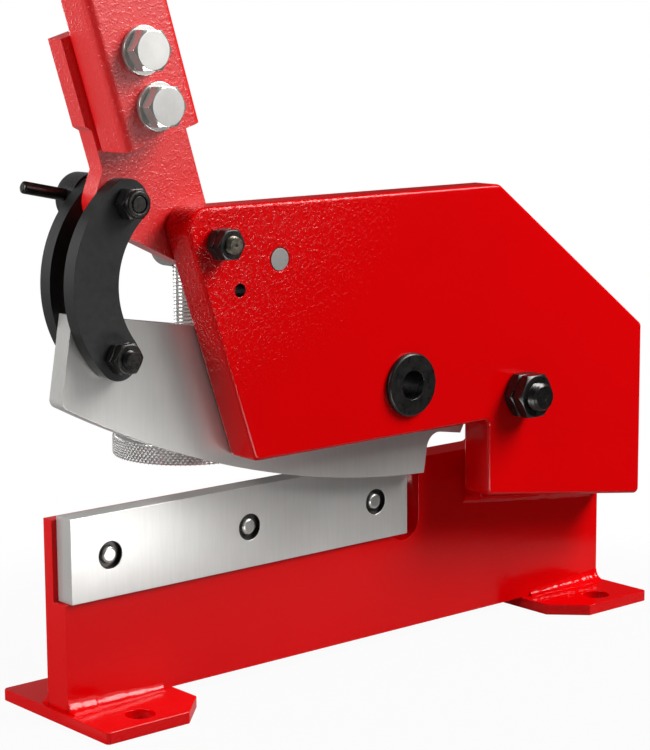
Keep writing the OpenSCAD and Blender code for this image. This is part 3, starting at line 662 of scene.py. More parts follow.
def thread_tree() -> Tree:
    """Draws an outer screw thread up +Z, its rows along the helix so that the crests stay crisp.

    Returns:
        The tree.
    """
    made = Tree("outer thread", ("crest", "depth", "pitch", "length"), ("rows",))
    new, known = made.new, made.known
    sheet = made.points(THREAD_SIDES + 1, known["rows"])
    made.work_out(
        ("turn", "ADD", "x", 0.5),
        ("share", "ADD", "y", 0.5),
        ("last_row", "SUBTRACT", "rows", 1.0),
        ("row", "MULTIPLY", "share", "last_row"),
        ("turns", "DIVIDE", "row", float(THREAD_ROWS)),
        ("all_turns", "ADD", "turns", "turn"),
        ("turns_up", "SUBTRACT", "all_turns", 1.0),
        ("raw", "MULTIPLY", "turns_up", "pitch"),
        ("above", "MAXIMUM", "raw", 0.0),
        ("height", "MINIMUM", "above", "length"),
        ("part_turn", "FRACT", "turns"),
        ("swing", "MULTIPLY_ADD", "part_turn", 2.0, -1.0),
        ("valley", "ABSOLUTE", "swing"),
        ("cut_off", "SUBTRACT", "raw", "height"),
        ("cut_size", "ABSOLUTE", "cut_off"),
        ("inside", "LESS_THAN", "cut_size", NO_LENGTH),
        ("ridge", "SUBTRACT", 1.0, "valley"),
        ("ridge_left", "MULTIPLY", "ridge", "inside"),
        ("fall", "SUBTRACT", 1.0, "ridge_left"),
        ("fall_depth", "MULTIPLY", "fall", "depth"),
        ("flank", "SUBTRACT", "crest", "fall_depth"),
        ("reach", "ADD", "height", "depth"),
        ("over", "SUBTRACT", "reach", "length"),
        ("taper", "MAXIMUM", 0.0, "over"),
        ("chamfer", "SUBTRACT", "crest", "taper"),
        ("radius", "MINIMUM", "flank", "chamfer"),
        ("angle", "MULTIPLY", "turn", math.tau),
        *ROUND_THE_AXIS,
        ("core", "SUBTRACT", "crest", "depth"),
        ("lift", "CombineXYZ", 0.0, 0.0, "length"),
    )
    wound = new("GeometryNodeSetPosition", {"Geometry": sheet, "Position": known["where"]})
    cap = new("GeometryNodeMeshCircle", {
        "Vertices": THREAD_SIDES, "Radius": known["core"]}, fill_type="NGON")
    top = new("GeometryNodeTransform", {"Geometry": cap, "Translation": known["lift"]})
    whole = new("GeometryNodeJoinGeometry")
    for part in (wound, cap, top):
        plug(whole, {"Geometry": part})
    return made.close(new("GeometryNodeMergeByDistance", {
        "Geometry": whole, "Distance": SAME_SPOT}))


KNURL_TIP = 0.06  # Shares of the pitch.
KNURL_BASE = 0.52


def knurl_tree() -> Tree:
    """Lays staggered four-sided points round a rim about +Z.

    Returns:
        The tree.
    """
    made = Tree("diamond knurl", ("radius", "pitch", "step", "rise"), ("columns", "rows"))
    new, known = made.new, made.known
    sheet = made.points(known["columns"], known["rows"])
    for count, number, axis in (("columns", "column", "x"), ("rows", "row", "y")):
        made.work_out(
            ("share", "ADD", axis, 0.5),
            (f"last_{number}", "SUBTRACT", count, 1.0),
            ("raw", "MULTIPLY", "share", f"last_{number}"),
            (number, "ROUND", "raw"),
        )
    made.work_out(
        ("odd_row", "MODULO", "row", 2.0),
        ("shifted", "MULTIPLY_ADD", "odd_row", 0.5, "column"),
        ("turned", "MULTIPLY", "shifted", math.tau),
        ("angle", "DIVIDE", "turned", "columns"),
        ("half", "MULTIPLY", "last_row", 0.5),
        ("from_middle", "SUBTRACT", "row", "half"),
        ("height", "MULTIPLY", "from_middle", "step"),
        *ROUND_THE_AXIS,
        ("heading", "CombineXYZ", 0.0, math.pi / 2, "angle"),
        ("tip", "MULTIPLY", "pitch", KNURL_TIP),
        ("base", "MULTIPLY", "pitch", KNURL_BASE),
    )
    placed = new("GeometryNodeSetPosition", {"Geometry": sheet, "Position": known["where"]})
    point = new("GeometryNodeMeshCone", {
        "Vertices": 4, "Side Segments": 1, "Fill Segments": 1, "Radius Top": known["tip"],
        "Radius Bottom": known["base"], "Depth": known["rise"]}, fill_type="NGON")
    return made.close(new("GeometryNodeInstanceOnPoints", {
        "Points": placed, "Instance": point, "Rotation": known["heading"]}))


WELD_STEPS = 110
WELD_ROWS = 12
WELD_GIRTH = 7 * MM
WELD_LUMP = 5.5 * MM
WELD_WAVE = 8 * MM
WELD_TUCK = 0.2  # The share of the leg by which the hidden rows lie behind the plates' faces.


def weld_tree() -> Tree:
    """Draws a hollow weld fillet along +X in the corner between +Y and +Z.

    It is uneven, as a welder's hand leaves it.

    Returns:
        The tree.
    """
    made = Tree("weld fillet", ("length", "leg", "end_leg", "ripple", "seed"))
    new, known = made.new, made.known
    sheet = made.points(WELD_STEPS + 1, WELD_ROWS + 1)
    # A share from 0 to 1 each way, and a mark of 1 for all but the two outer rows.
    for share, mark, axis, count in (("along", "open_end", "x", WELD_STEPS),
                                     ("around", "skin", "y", WELD_ROWS)):
        made.work_out(
            ("shifted", "ADD", axis, 0.5),
            ("raw", "MULTIPLY", "shifted", float(count)),
            ("inner", "SUBTRACT", "raw", 1.0),
            ("inner_share", "DIVIDE", "inner", count - 2.0),
            ("low_cut", "MAXIMUM", "inner_share", 0.0),
            (share, "MINIMUM", "low_cut", 1.0),
            ("from_middle", "SUBTRACT", "raw", count / 2),
            ("off_middle", "ABSOLUTE", "from_middle"),
            (mark, "LESS_THAN", "off_middle", count / 2 - 0.5),
        )
    made.work_out(
        ("far", "MULTIPLY", "along", "length"),
        ("girth", "MULTIPLY", "around", WELD_GIRTH),
        ("on_skin", "CombineXYZ", "far", "girth"),
        ("on_toe", "CombineXYZ", "far"),
    )
    for name, place, size in (("lumps", "on_skin", WELD_LUMP), ("toe", "on_toe", WELD_WAVE)):
        known[name] = new("ShaderNodeTexNoise", {
            "Vector": known[place], "W": known["seed"], "Scale": 1 / size, "Detail": 3.0},
            noise_dimensions="4D")
    made.work_out(
        ("grows", "SUBTRACT", "end_leg", "leg"),
        ("plain_leg", "MULTIPLY_ADD", "along", "grows", "leg"),
        ("toe_swing", "MULTIPLY_ADD", "toe", 2.0, -1.0),
        ("toe_share", "MULTIPLY_ADD", "toe_swing", "ripple", 1.0),
        ("uneven_leg", "MULTIPLY", "plain_leg", "toe_share"),
        # The lumps fade out at the toes, so that the skin runs smoothly into both plates.
        ("half_ripple", "MULTIPLY", "ripple", 0.5),
        ("to_foot", "SUBTRACT", 1.0, "around"),
        ("between", "MULTIPLY", "around", "to_foot"),
        ("middle", "MULTIPLY", "between", 4.0),
        ("full_lump", "MULTIPLY", "lumps", "half_ripple"),
        ("lump", "MULTIPLY", "full_lump", "middle"),
        ("hollow", "SUBTRACT", 1.0, "lump"),
        ("angle", "MULTIPLY_ADD", "around", math.pi / 2, math.pi),
        ("outer_row", "SUBTRACT", 1.0, "skin"),
        ("tuck", "MULTIPLY", "outer_row", WELD_TUCK),
    )
    for name, operation in (("place_y", "COSINE"), ("place_z", "SINE")):
        made.work_out(
            ("swing", operation, "angle"),
            ("bare", "MULTIPLY_ADD", "hollow", "swing", 1.0),
            ("shown", "MULTIPLY", "bare", "skin"),
            ("tucked", "SUBTRACT", "shown", "tuck"),
            ("sized", "MULTIPLY", "tucked", "uneven_leg"),
            (name, "MULTIPLY", "sized", "open_end"),
        )
    made.work_out(("where", "CombineXYZ", "far", "place_y", "place_z"))
    laid = new("GeometryNodeSetPosition", {"Geometry": sheet, "Position": known["where"]})
    closed = new("GeometryNodeMergeByDistance", {"Geometry": laid, "Distance": SAME_SPOT})
    return made.close(new("GeometryNodeSetShadeSmooth", {"Geometry": closed}))


def rib_tree() -> Tree:
    """Stacks rounded ribs round a grip of rectangular section, up +Z.

    Returns:
        The tree.
    """
    made = Tree("grip ribs", ("width", "depth", "corner", "rib", "pitch"), ("count",))
    new, known = made.new, made.known
    box = new("GeometryNodeCurvePrimitiveQuadrilateral", {
        "Width": known["width"], "Height": known["depth"]}, mode="RECTANGLE")
    loop = new("GeometryNodeFilletCurve", {
        "Curve": box, "Count": 6, "Radius": known["corner"]}, mode="POLY")
    section = new("GeometryNodeCurvePrimitiveCircle", {"Resolution": 10, "Radius": known["rib"]})
    rib = new("GeometryNodeCurveToMesh", {"Curve": loop, "Profile Curve": section})
    rise = new("ShaderNodeCombineXYZ", {"Z": known["pitch"]})
    places = new("GeometryNodeMeshLine", {"Count": known["count"], "Offset": rise}, mode="OFFSET")
    laid = new("GeometryNodeInstanceOnPoints", {"Points": places, "Instance": rib})
    return made.close(new("GeometryNodeSetShadeSmooth", {"Geometry": laid}))


@dataclass(frozen=True)
class Thread:
    """The sizes of a thread, and the radius to which its bolt is turned down under it."""

    crest: float
    pitch: float
    length: float
    core: float = 0.0


@dataclass
class Workshop:
    """What every sub-assembly is made with."""

    looks: dict[Finish, Material]
    thread: Tree
    knurl: Tree
    weld: Tree
    ribs: Tree


@dataclass
class SubAssembly:
    """A group of pieces on one body, which are built and then dressed."""

    body: ClassVar[str]
    bare: ClassVar[dict[str, Finish]] = {}  # CAD nodes that stay in view.
    shop: Workshop
    pieces: list[Piece] = field(default_factory=list, init=False)
    nut_round: float = 0.2 * MM
    thread_depth: float = 0.6  # A share of the pitch.
    # The radius and depth of each step of the mark, as shares of the crest.
    centre_mark: tuple[tuple[float, float], ...] = ((0.22, 0.0), (0.05, 0.08))
    proud: float = 0.02 * MM
    shank_gap: float = 0.1 * MM

    def paint(self, piece: Piece, finish: Finish) -> Piece:
        """Gives a piece or a CAD node one finish.

        Args:
            piece: The piece or node.
            finish: The finish.

        Returns:
            The piece or node.
        """
        piece.data.materials.clear()
        piece.data.materials.append(self.shop.looks[finish])
        return piece

    def keep(self, piece: Piece, finish: Finish, node: str) -> Piece:
        """Puts a finished piece on the body.

        Args:
            piece: The piece.
            finish: The finish that names its slot.
            node: The CAD node that it stands for.

        Returns:
            The piece.
        """
        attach(piece, self.body)
        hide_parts(node)
        self.pieces.append(piece)
        return piece

    def ease(self, node: str, finish: Finish, radius: float, weigh: Weigh | None = None,
             segments: int = 3) -> Piece:
        """Rounds and paints a CAD node, and keeps the result in its place.

        Args:
            node: The CAD node.
            finish: Its finish.
            radius: The radius of the rounding.
            weigh: The share of the radius that a corner gets, or none for all of it.
            segments: Faces across the rounding.

        Returns:
            The piece.
        """
        piece = eased(f"{node}_{finish.word}", merged(node), radius, weigh, segments)
        return self.keep(self.paint(piece, finish), finish, node)

    def blacken(self, piece: Piece, chosen: Callable[[bpy.types.MeshPolygon], bool]) -> None:
        """Blackens the faces of a piece that a rule chooses.

        Args:
            piece: The piece, which has one material.
            chosen: The rule.
        """
        piece.data.materials.append(self.shop.looks[Finish.BLACK])
        for face in piece.data.polygons:
            if chosen(face):
                face.material_index = 1

    def wind(self, name: str, place: Matrix, thread: Thread, finish: Finish) -> Piece:
        """Winds a thread.

        Args:
            name: The piece's name.
            place: Where it goes.
            thread: Its sizes.
            finish: Its finish.

        Returns:
            The piece.
        """
        rows = (math.ceil(thread.length / thread.pitch) + 1) * THREAD_ROWS + 1
        return self.shop.thread.run(
            name, place, crest=thread.crest, depth=self.thread_depth * thread.pitch,
            pitch=thread.pitch, length=thread.length, rows=rows, material=self.shop.looks[finish])

    def threaded(self, node: str, thread: Thread, finish: Finish = Finish.BLACK) -> None:
        """Replaces a bolt by a copy that is turned down under the thread, and its threaded end.

        Args:
            node: The CAD node, whose thread ends at its lowest Y.
            thread: The thread's sizes.
            finish: The finish of the threaded end.
        """
        axis = middle(node)
        bm = merged(node)
        for vert in bm.verts:
            out = Vector((vert.co.x - axis.x, 0, vert.co.z - axis.z))
            if 0 < out.length < thread.crest + self.shank_gap:
                share = min(1.0, thread.core / out.length)
                vert.co = Vector((axis.x, vert.co.y, axis.z)) + out * share
        shank = self.paint(eased(f"{node}_body", bm, self.nut_round, segments=2), Finish.BLACK)
        end = self.wind(f"{node}_end", Matrix.Identity(4), thread, finish)
        self.mark(end, thread)
        toward = Vector((0, -1, 0))
        tip = Vector((axis.x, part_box(node)[0].y - self.proud, axis.z))
        turn = toward.to_track_quat("Z", "Y").to_matrix().to_4x4()
        end.data.transform(Matrix.Translation(tip - toward * thread.length) @ turn)
        self.keep(joined(f"{node}_{Finish.BLACK.word}", [shank, end]), Finish.BLACK, node)

    def mark(self, end: Piece, thread: Thread) -> None:
        """Sinks a small centre mark into the face of a threaded end that stands up +Z.

        Args:
            end: The threaded end, changed in place.
            thread: The thread's sizes.
        """
        bm = bmesh.new()
        bm.from_mesh(end.data)
        # The only many-sided face that looks up is the end of the thread.
        cap = [face for face in bm.faces if len(face.verts) > 8 and face.normal.z > 0.9]
        for share, depth in self.centre_mark:
            bmesh.ops.inset_region(bm, faces=cap, thickness=TINY, use_even_offset=False)
            for vert in {vert for face in cap for vert in face.verts}:
                flat = Vector((vert.co.x, vert.co.y, 0)).normalized() * thread.crest * share
                vert.co = Vector((flat.x, flat.y, thread.length - depth * thread.crest))
        bm.to_mesh(end.data)
        bm.free()

    def build(self) -> None:
        """Makes the pieces, each sub-assembly in its own way."""
        raise NotImplementedError

    def dress(self) -> None:
        """Gives the CAD nodes that stay in view their finishes."""
        for node, finish in self.bare.items():
            self.paint(frame["nodes"][node], finish)


@dataclass
class Stand(SubAssembly):
    """The frame plate, its feet, the spacer under the cheek, and their welds."""

    body = "frame"
    plate_round: float = 1.3 * MM
    foot_round: float = 1.1 * MM
    spacer_round: float = 0.8 * MM
    weld_end: float = 3.0 * MM
    weld_ripple: float = 0.3
    foot_seed: float = 3.0
    lug_seed: float = 11.0

    def build(self) -> None:
        """Rounds the plates and lays the beads."""
        self.ease("frame_plate", Finish.RED, self.plate_round)
        for foot in ("front_foot", "rear_foot"):
            self.ease(foot, Finish.RED, self.foot_round)
            self.foot_welds(foot)
        self.ease("cheek_spacer", Finish.RED, self.spacer_round)
        self.lug_weld()

    def fillet(self, name: str, place: Matrix, seed: float, **sizes: float) -> Piece:
        """Lays one fillet.

        Args:
            name: The piece's name.
            place: Where it goes.
            seed: The seed of its unevenness.
            sizes: Its length, leg and end_leg.

        Returns:
            The piece.
        """
        return self.shop.weld.run(name, place, seed=seed, ripple=self.weld_ripple,
                                  material=self.shop.looks[Finish.RED], **sizes)

    def foot_welds(self, foot: str) -> None:
        """Lays the two fillets of one foot and joins them to one piece.

        Args:
            foot: The foot's CAD node.
        """
        node = f"{foot}_welds"
        low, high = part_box(node)
        outer, way = (low.x, 1) if foot == "front_foot" else (high.x, -1)
        sides = []
        for number, (face, out) in enumerate(zip(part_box("frame_plate"), (-1, 1))):
            turn = Matrix(((way, 0, 0, outer), (0, out, 0, face.y), (0, 0, 1, low.z),
                           (0, 0, 0, 1)))
            sides.append(self.fillet(
                f"{foot}_fillet_{number}", turn, self.foot_seed + number + 2 * way,
                length=high.x - low.x, leg=high.z - low.z, end_leg=self.weld_end))
        self.keep(joined(f"{node}_{Finish.RED.word}", sides), Finish.RED, node)

    def lug_weld(self) -> None:
        """Lays the fillet under the spacer."""
        node = "spacer_weld_bead"
        low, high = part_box(node)
        leg = high.y - low.y
        start = Vector((low.x, high.y, high.z))
        along = (Vector((high.x, high.y, low.z + leg)) - start).normalized()
        down = along.cross(Vector((0, 1, 0)))
        down = down if down.z < 0 else -down
        turn = Matrix((along, Vector((0, -1, 0)), down)).transposed().to_4x4()
        bead = self.fillet(
            "spacer_bead_painted", Matrix.Translation(start) @ turn, self.lug_seed,
            length=high.x - low.x, leg=leg, end_leg=leg)
        self.keep(bead, Finish.RED, node)


@dataclass
class LowerBlade(SubAssembly):
    """The lower blade in its seat, and its bolts from the far side."""

    body = "frame"
    bare = {"lower_blade_washers": Finish.ZINC}
    edge_round: float = 0.25 * MM
    recess: float = 6.4 * MM
    rim: float = 0.4 * MM
    end_round: float = 1.3 * MM
    end_length: float = 2 * MM
    head_share: float = 0.25

    def build(self) -> None:
        """Eases the blade, blackens its recesses and domes the bolts' ends."""
        blade = self.ease("lower_blade", Finish.STEEL, self.edge_round, segments=2)
        low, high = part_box("lower_blade")
        bolts = self.bolt_axes()
        self.blacken(blade, lambda face: low.y + self.rim < face.center.y < high.y - self.rim
                     and any(math.hypot(face.center.x - x, face.center.z - z) < self.recess
                             for x, z in bolts))
        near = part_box("lower_blade_bolts")[0].y + self.end_length

        def weigh(edge: Edge) -> float:
            """Domes the near ends and eases the heads a little."""
            return 1.0 if max(vert.co.y for vert in edge.verts) < near else self.head_share

        self.ease("lower_blade_bolts", Finish.ZINC, self.end_round, weigh, 4)

    def bolt_axes(self) -> list[tuple[float, float]]:
        """Reads the places of the three bolts from the washers' box.

        Returns:
            The X and Z of each bolt.
        """
        low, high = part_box("lower_blade_washers")
        half = (high.z - low.z) / 2
        first, last = low.x + half, high.x - half
        return [(first + (last - first) * i / 2, (low.z + high.z) / 2) for i in range(3)]


@dataclass
class Cheek(SubAssembly):
    """The cheek plate with its bush, clamp bolt, lever pivot and holder bar."""

    body = "frame"
    bare = {"clamp_washer": Finish.BLACK, "lever_pivot_washer": Finish.BLACK,
            "retaining_ring": Finish.BLACK, "thrust_washer": Finish.ZINC}
    outline_round: float = 2.4 * MM
    rim_share: float = 0.14
    rim_reach: float = 0.8 * MM
    bar_round: float = 0.5 * MM
    small_hole: Spot = (11.5 * MM, 0, -21.8 * MM)  # From the lever's pivot.
    small_hole_radius: float = 3.2 * MM
    wall_slope: float = 0.3  # A wall of the hole looks along Y less than this.
    bores: tuple[float, ...] = (12.2 * MM, 6 * MM, 7 * MM, 7 * MM, 4 * MM)
    clamp_thread: Thread = Thread(7 * MM, 2.0 * MM, 9 * MM, 5.76 * MM)
    pivot_thread: Thread = Thread(4 * MM, 1.25 * MM, 6 * MM, 3.225 * MM)

    def build(self) -> None:
        """Rounds the plate and the fasteners and winds the studs."""
        pivot = joint_place("lever_turn")
        bore = pivot + Vector(self.small_hole)
        places = (joint_place("blade_turn"), pivot, middle("clamp_nut"),
                  middle("hold_down_holder"), bore)
        rims = [(at, size + self.rim_reach) for at, size in zip(places, self.bores)]
        rule = near_bore(rims, self.rim_share)
        plate = self.ease("cheek_plate", Finish.RED, self.outline_round, rule, 4)
        self.blacken(plate, lambda face: abs(face.normal.y) < self.wall_slope
                     and math.hypot(face.center.x - bore.x, face.center.z - bore.z)
                     < self.small_hole_radius)
        for node in ("clamp_nut", "clamp_lock_nut", "lever_pivot_nut", "lever_pivot_lock_nut",
                     "blade_pivot_bush"):
            self.ease(node, Finish.BLACK, self.nut_round, segments=2)
        self.threaded("clamp_bolt", self.clamp_thread)
        self.threaded("lever_pivot_bolt", self.pivot_thread, Finish.STUD)
        self.ease("hold_down_holder", Finish.BAR, self.bar_round, segments=2)


@dataclass
class UpperBlade(SubAssembly):
    """The bowed upper blade."""

    body = "blade"
    edge_round: float = 1.3 * MM
    other_share: float = 0.25
    edge_below: float = 22 * MM
    edge_slope: float = 0.17
    near_side: float = 3 * MM
    level: float = 0.1 * MM

    def build(self) -> None:
        """Eases the blade, with a wider flat along the near side of the cutting edge."""
        pivot = joint_place("blade_turn")

        def weigh(edge: Edge) -> float:
            """Gives the cutting edge's near corner more than the others.

            Args:
                edge: A corner of the blade.

            Returns:
                Its share of the rounding.
            """
            first, last = (vert.co for vert in edge.verts)
            spot = (first + last) / 2
            below = spot.z < pivot.z - self.edge_below - self.edge_slope * (spot.x - pivot.x)
            near = spot.y < pivot.y - self.near_side
            lengthwise = abs(first.y - last.y) < self.level
            return 1.0 if below and near and lengthwise else self.other_share

        self.ease("upper_blade", Finish.STEEL, self.edge_round, weigh, 2)


@dataclass
class Lever(SubAssembly):
    """The lever plate, the handle tube with its bolts, and the hand grip."""

    body = "lever"
    bare = {"lever_bush": Finish.BRONZE}
    arm_round: float = 1.8 * MM
    tube_round: float = 0.5 * MM
    head_round: float = 0.25 * MM
    washer_round: float = 0.3 * MM
    sleeve_round: float = 2 * MM
    tube_w: float = 41 * MM
    tube_d: float = 21.5 * MM
    tube_across: float = 15 * MM
    lean: float = math.radians(17)
    grip_start: float = 360.3 * MM  # Along the tube from the lever's pivot.
    rib_over: float = 5.4 * MM
    rib_corner: float = 6.6 * MM
    rib: float = 1.5 * MM
    rib_pitch: float = 6 * MM
    rib_count: int = 17

    def build(self) -> None:
        """Rounds the arm, tube and bolts, and makes the grip."""
        self.ease("lever_arm", Finish.HANDLE, self.arm_round)
        self.ease("handle_tube", Finish.HANDLE, self.tube_round)
        self.ease("handle_bolts", Finish.ZINC, self.head_round)
        for node in ("handle_washers", "handle_nuts"):
            self.ease(node, Finish.ZINC, self.washer_round)
        self.grip()

    def grip(self) -> None:
        """Rounds the sleeve and rings it with ribs."""
        node = "hand_grip"
        sleeve = eased("grip_sleeve", merged(node), self.sleeve_round, segments=4)
        self.paint(sleeve, Finish.RUBBER)
        along = Vector((-math.sin(self.lean), 0, math.cos(self.lean)))
        across = Vector((math.cos(self.lean), 0, math.sin(self.lean)))
        pivot = joint_place("lever_turn")
        foot = pivot - across * self.tube_across
        foot.y = middle("handle_tube").y
        turn = Matrix((across, Vector((0, 1, 0)), along)).transposed().to_4x4()
        place = Matrix.Translation(foot + along * self.grip_start) @ turn
        ribs = self.shop.ribs.run(
            "grip_ribs", place, width=self.tube_w + self.rib_over,
            depth=self.tube_d + self.rib_over, corner=self.rib_corner, rib=self.rib,
            pitch=self.rib_pitch, count=self.rib_count, material=self.shop.looks[Finish.RUBBER])
        ribbed = joined(f"{node}_{Finish.RUBBER.word}", [sleeve, ribs])
        self.keep(ribbed, Finish.RUBBER, node)


@dataclass
class Links(SubAssembly):
    """The two curved links, the lower pin with its nuts, and the upper lock nut."""

    body = "links"
    link_round: float = 1.0 * MM
    pin_thread: Thread = Thread(4 * MM, 1.25 * MM, 5 * MM, 3.2 * MM)

    def build(self) -> None:
        """Eases the links and nuts and winds the lower pin's end."""
        for node in ("near_link", "far_link"):
            self.ease(node, Finish.OXIDE, self.link_round, segments=2)
        for node in ("lower_link_nut", "lower_link_lock_nut", "upper_link_nut"):
            self.ease(node, Finish.BLACK, self.nut_round, segments=2)
        self.threaded("lower_link_bolt", self.pin_thread)


@dataclass
class LockScrew(SubAssembly):
    """The upper link pin with its hub and tommy bar."""

    body = "lock"
    hub_round: float = 0.9 * MM
    bar_round: float = 0.6 * MM

    def build(self) -> None:
        """Eases the hub and the bar."""
        self.ease("lock_screw", Finish.BLACK, self.hub_round)
        self.ease("tommy_bar", Finish.BLACK, self.bar_round)


@dataclass
class HoldDown(SubAssembly):
    """The hold-down's screw, knurled wheel and swivel pad."""

    body = "screw"
    bare = {"swivel_pad": Finish.TURNED}
    pitch: float = 1.75 * MM
    wheel_radius: float = 36 * MM
    wheel_round: float = 0.4 * MM
    knurl_pitch: float = 2.3 * MM
    knurl_step: float = 1.25 * MM
    knurl_rise: float = 0.8 * MM
    knurl_rows: int = 7

    def build(self) -> None:
        """Winds the screw and knurls the wheel."""
        node = "hold_down_screw"
        low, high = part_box(node)
        axis = middle(node)
        thread = Thread((high.x - low.x) / 2, self.pitch, high.z - low.z)
        place = Matrix.Translation((axis.x, axis.y, low.z))
        screw = self.wind(f"{node}_threaded", place, thread, Finish.TURNED)
        self.keep(screw, Finish.TURNED, node)
        node = "hold_down_wheel"
        bm = merged(node)
        reach = self.wheel_radius - self.knurl_rise
        for vert in bm.verts:
            out = Vector((vert.co.x - axis.x, vert.co.y - axis.y, 0))
            if out.length > reach:
                vert.co -= out.normalized() * (out.length - reach)
        wheel = self.paint(eased("wheel_body", bm, self.wheel_round, segments=2), Finish.TURNED)
        points = self.shop.knurl.run(
            "wheel_knurl", Matrix.Translation(middle(node)), radius=reach - self.proud,
            pitch=self.knurl_pitch, step=self.knurl_step, rise=self.knurl_rise,
            columns=round(math.tau * self.wheel_radius / self.knurl_pitch), rows=self.knurl_rows,
            material=self.shop.looks[Finish.TURNED])
        self.keep(joined(f"{node}_knurled", [wheel, points]), Finish.TURNED, node)


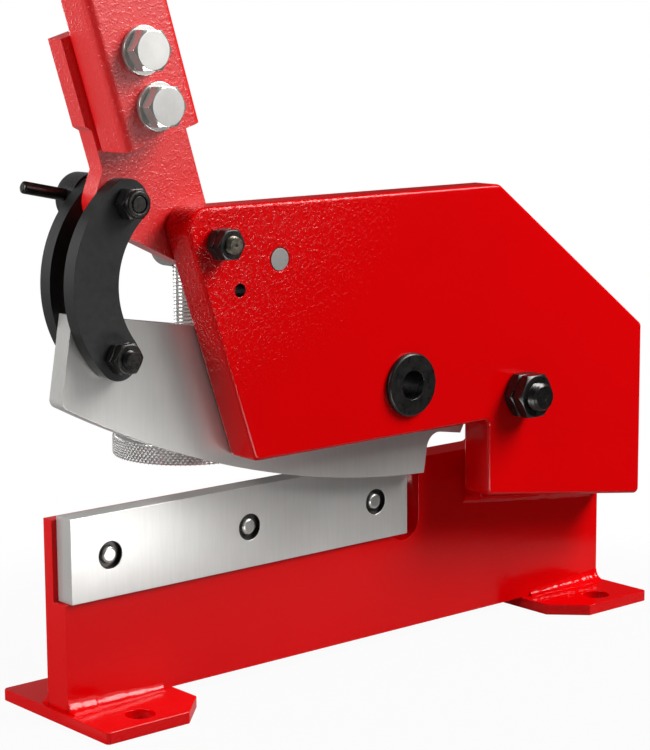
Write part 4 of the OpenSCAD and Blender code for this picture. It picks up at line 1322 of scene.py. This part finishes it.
@dataclass
class Studio:
    """The pale floor, the soft lights and the camera of the photograph."""

    azimuth: float = math.radians(-40.51)
    elevation: float = math.radians(9.0)
    roll: float = math.radians(-0.34)
    place: Spot = (-0.67905, -0.7819, 0.3122)
    focal: float = 2154.0
    centre: tuple[float, float] = (330.2, 352.2)
    image: tuple[int, int] = (650, 750)
    sensor: float = 36.0
    floor_radius: float = 0.8
    floor_place: Spot = (-0.3, 0.5, 0.0)
    floor_fade: tuple[float, float] = (0.2, 0.3)
    floor_white: float = 0.95
    floor_grey: str = "#8E8E8E"
    backdrop: tuple[float, float] = (0.74, 1.0)
    front_glow: float = 0.03
    soft_fill: float = 0.18

    def build(self) -> None:
        """Makes the floor, the world, the lamps and the camera."""
        self.floor()
        self.world()
        # A key box and a strip at the right, boxes at the left and behind, and two cards that
        # only show in reflections.
        self.lamp("key_box", (0.9, -0.85, 1.3), (-0.02, 0, 0.12), (0.8, 0.8), 37.0)
        self.lamp("glint_strip", (0.75, -1.1, 0.85), (-0.08, -0.03, 0.2), (0.5, 0.2), 5.0)
        self.lamp("side_card", (0.45, -1.15, 0.7), (-0.018, -0.046, 0.7), (0.9, 1.0), 5.2, False)
        self.lamp("left_box", (-1.3, 0.1, 0.6), (-0.1, 0, 0.17), (0.7, 0.7), 13.5)
        self.lamp("low_card", (-0.03, -0.31, 0.004), (-0.03, -0.309, 1.0), (0.22, 0.16), 0.95,
                  False)
        self.lamp("back_box", (-0.1, 1.4, 0.35), (-0.05, 0, 0.2), (0.9, 0.5), 9.0)
        self.camera()

    def floor(self) -> None:
        """Lays a pale floor that looks white to the camera and keeps the shadow."""
        bm = bmesh.new()
        bmesh.ops.create_circle(bm, cap_ends=True, segments=96, radius=self.floor_radius)
        bm.transform(Matrix.Translation(self.floor_place))
        plane = put_in("floor", bm)
        material, new, paper, coords = blank("pale paper floor")
        plug(paper, {"Base Color": linear(self.floor_grey), "Roughness": 0.9})
        path = new("ShaderNodeLightPath").outputs
        reach = new("ShaderNodeVectorMath", {0: coords}, operation="LENGTH")
        fade = new("ShaderNodeMapRange", {
            "Value": reach, "From Min": self.floor_fade[0], "From Max": self.floor_fade[1],
            "To Min": self.floor_white, "To Max": 1.0}, interpolation_type="SMOOTHSTEP")
        share = new("ShaderNodeMath", {0: path["Is Camera Ray"], 1: fade}, operation="MULTIPLY")
        glow = new("ShaderNodeEmission", {"Color": (1, 1, 1, 1), "Strength": 1.0})
        both = new("ShaderNodeMixShader", {0: share, 1: paper, 2: glow})
        plug(material.node_tree.nodes["Material Output"], {"Surface": both})
        plane.data.materials.append(material)

    def world(self) -> None:
        """Lights the room: white to the camera, pale behind the object and darker before it."""
        world = bpy.data.worlds.new("studio")
        bpy.context.scene.world = world
        world.use_nodes = True
        new = partial(add, world.node_tree)
        path = new("ShaderNodeLightPath").outputs
        way = new("ShaderNodeSeparateXYZ", {0: new("ShaderNodeTexCoord").outputs["Generated"]})
        behind = new("ShaderNodeMapRange", {
            "Value": way.outputs["Y"], "From Min": self.backdrop[0], "From Max": self.backdrop[1],
            "To Min": self.front_glow, "To Max": 1.0}, interpolation_type="SMOOTHSTEP")
        shown = new("ShaderNodeMix", {0: path["Is Camera Ray"], 2: behind, 3: 1.0})
        soft = new("ShaderNodeMix", {0: path["Is Diffuse Ray"], 2: shown, 3: self.soft_fill})
        plug(world.node_tree.nodes["Background"], {"Strength": soft, "Color": (1, 1, 1, 1)})

    def lamp(self, name: str, place: Spot, target: Spot, size: tuple[float, float], power: float,
             lights: bool = True) -> None:
        """Stands one soft box.

        Args:
            name: The lamp's name.
            place: Its place.
            target: The point that it faces.
            size: Its width and height.
            power: Its power in watts.
            lights: False for a card that is only seen in reflections.
        """
        data = bpy.data.lights.new(name, "AREA")
        data.shape = "RECTANGLE"
        data.size, data.size_y = size
        data.energy = power
        lamp = bpy.data.objects.new(name, data)
        bpy.context.scene.collection.objects.link(lamp)
        lamp.visible_diffuse = lights
        lamp.visible_camera = False
        lamp.location = place
        way = Vector(target) - Vector(place)
        lamp.rotation_euler = way.to_track_quat("-Z", "Y").to_euler()

    def camera(self) -> None:
        """Sets the camera that was fitted to the photograph."""
        az, el = self.azimuth, self.elevation
        ahead = Vector((-math.sin(az) * math.cos(el), math.cos(az) * math.cos(el), -math.sin(el)))
        right = Vector((math.cos(az), math.sin(az), 0))
        up = right.cross(ahead)
        across = right * math.cos(self.roll) + up * math.sin(self.roll)
        upward = up * math.cos(self.roll) - right * math.sin(self.roll)
        data = bpy.data.cameras.new("camera")
        camera = bpy.data.objects.new("camera", data)
        bpy.context.scene.collection.objects.link(camera)
        turned = Matrix((across, upward, -ahead)).transposed().to_4x4()
        turned.translation = Vector(self.place)
        camera.matrix_world = turned
        width, height = self.image
        longest = max(width, height)
        data.sensor_width = self.sensor
        data.lens = self.focal * self.sensor / longest
        data.shift_x = (width / 2 - self.centre[0]) / longest
        data.shift_y = (self.centre[1] - height / 2) / longest
        bpy.context.scene.camera = camera


def main() -> None:
    """Builds and dresses the shear, piece by piece, and then the studio."""
    logging.basicConfig(level=logging.INFO, format="%(name)s: %(message)s")
    looks = {finish: recipe.make(finish.label) for finish, recipe in RECIPES.items()}
    shop = Workshop(looks, thread_tree(), knurl_tree(), weld_tree(), rib_tree())
    for kind in (Stand, LowerBlade, Cheek, UpperBlade, Lever, Links, LockScrew, HoldDown):
        group = kind(shop)
        group.build()
        group.dress()
        for piece in group.pieces:
            log.info("%s: %s, %d faces", kind.__name__, piece.name, len(piece.data.polygons))
    Studio().build()
    bpy.context.scene.view_settings.view_transform = "Standard"


if __name__ == "__main__":
    main()
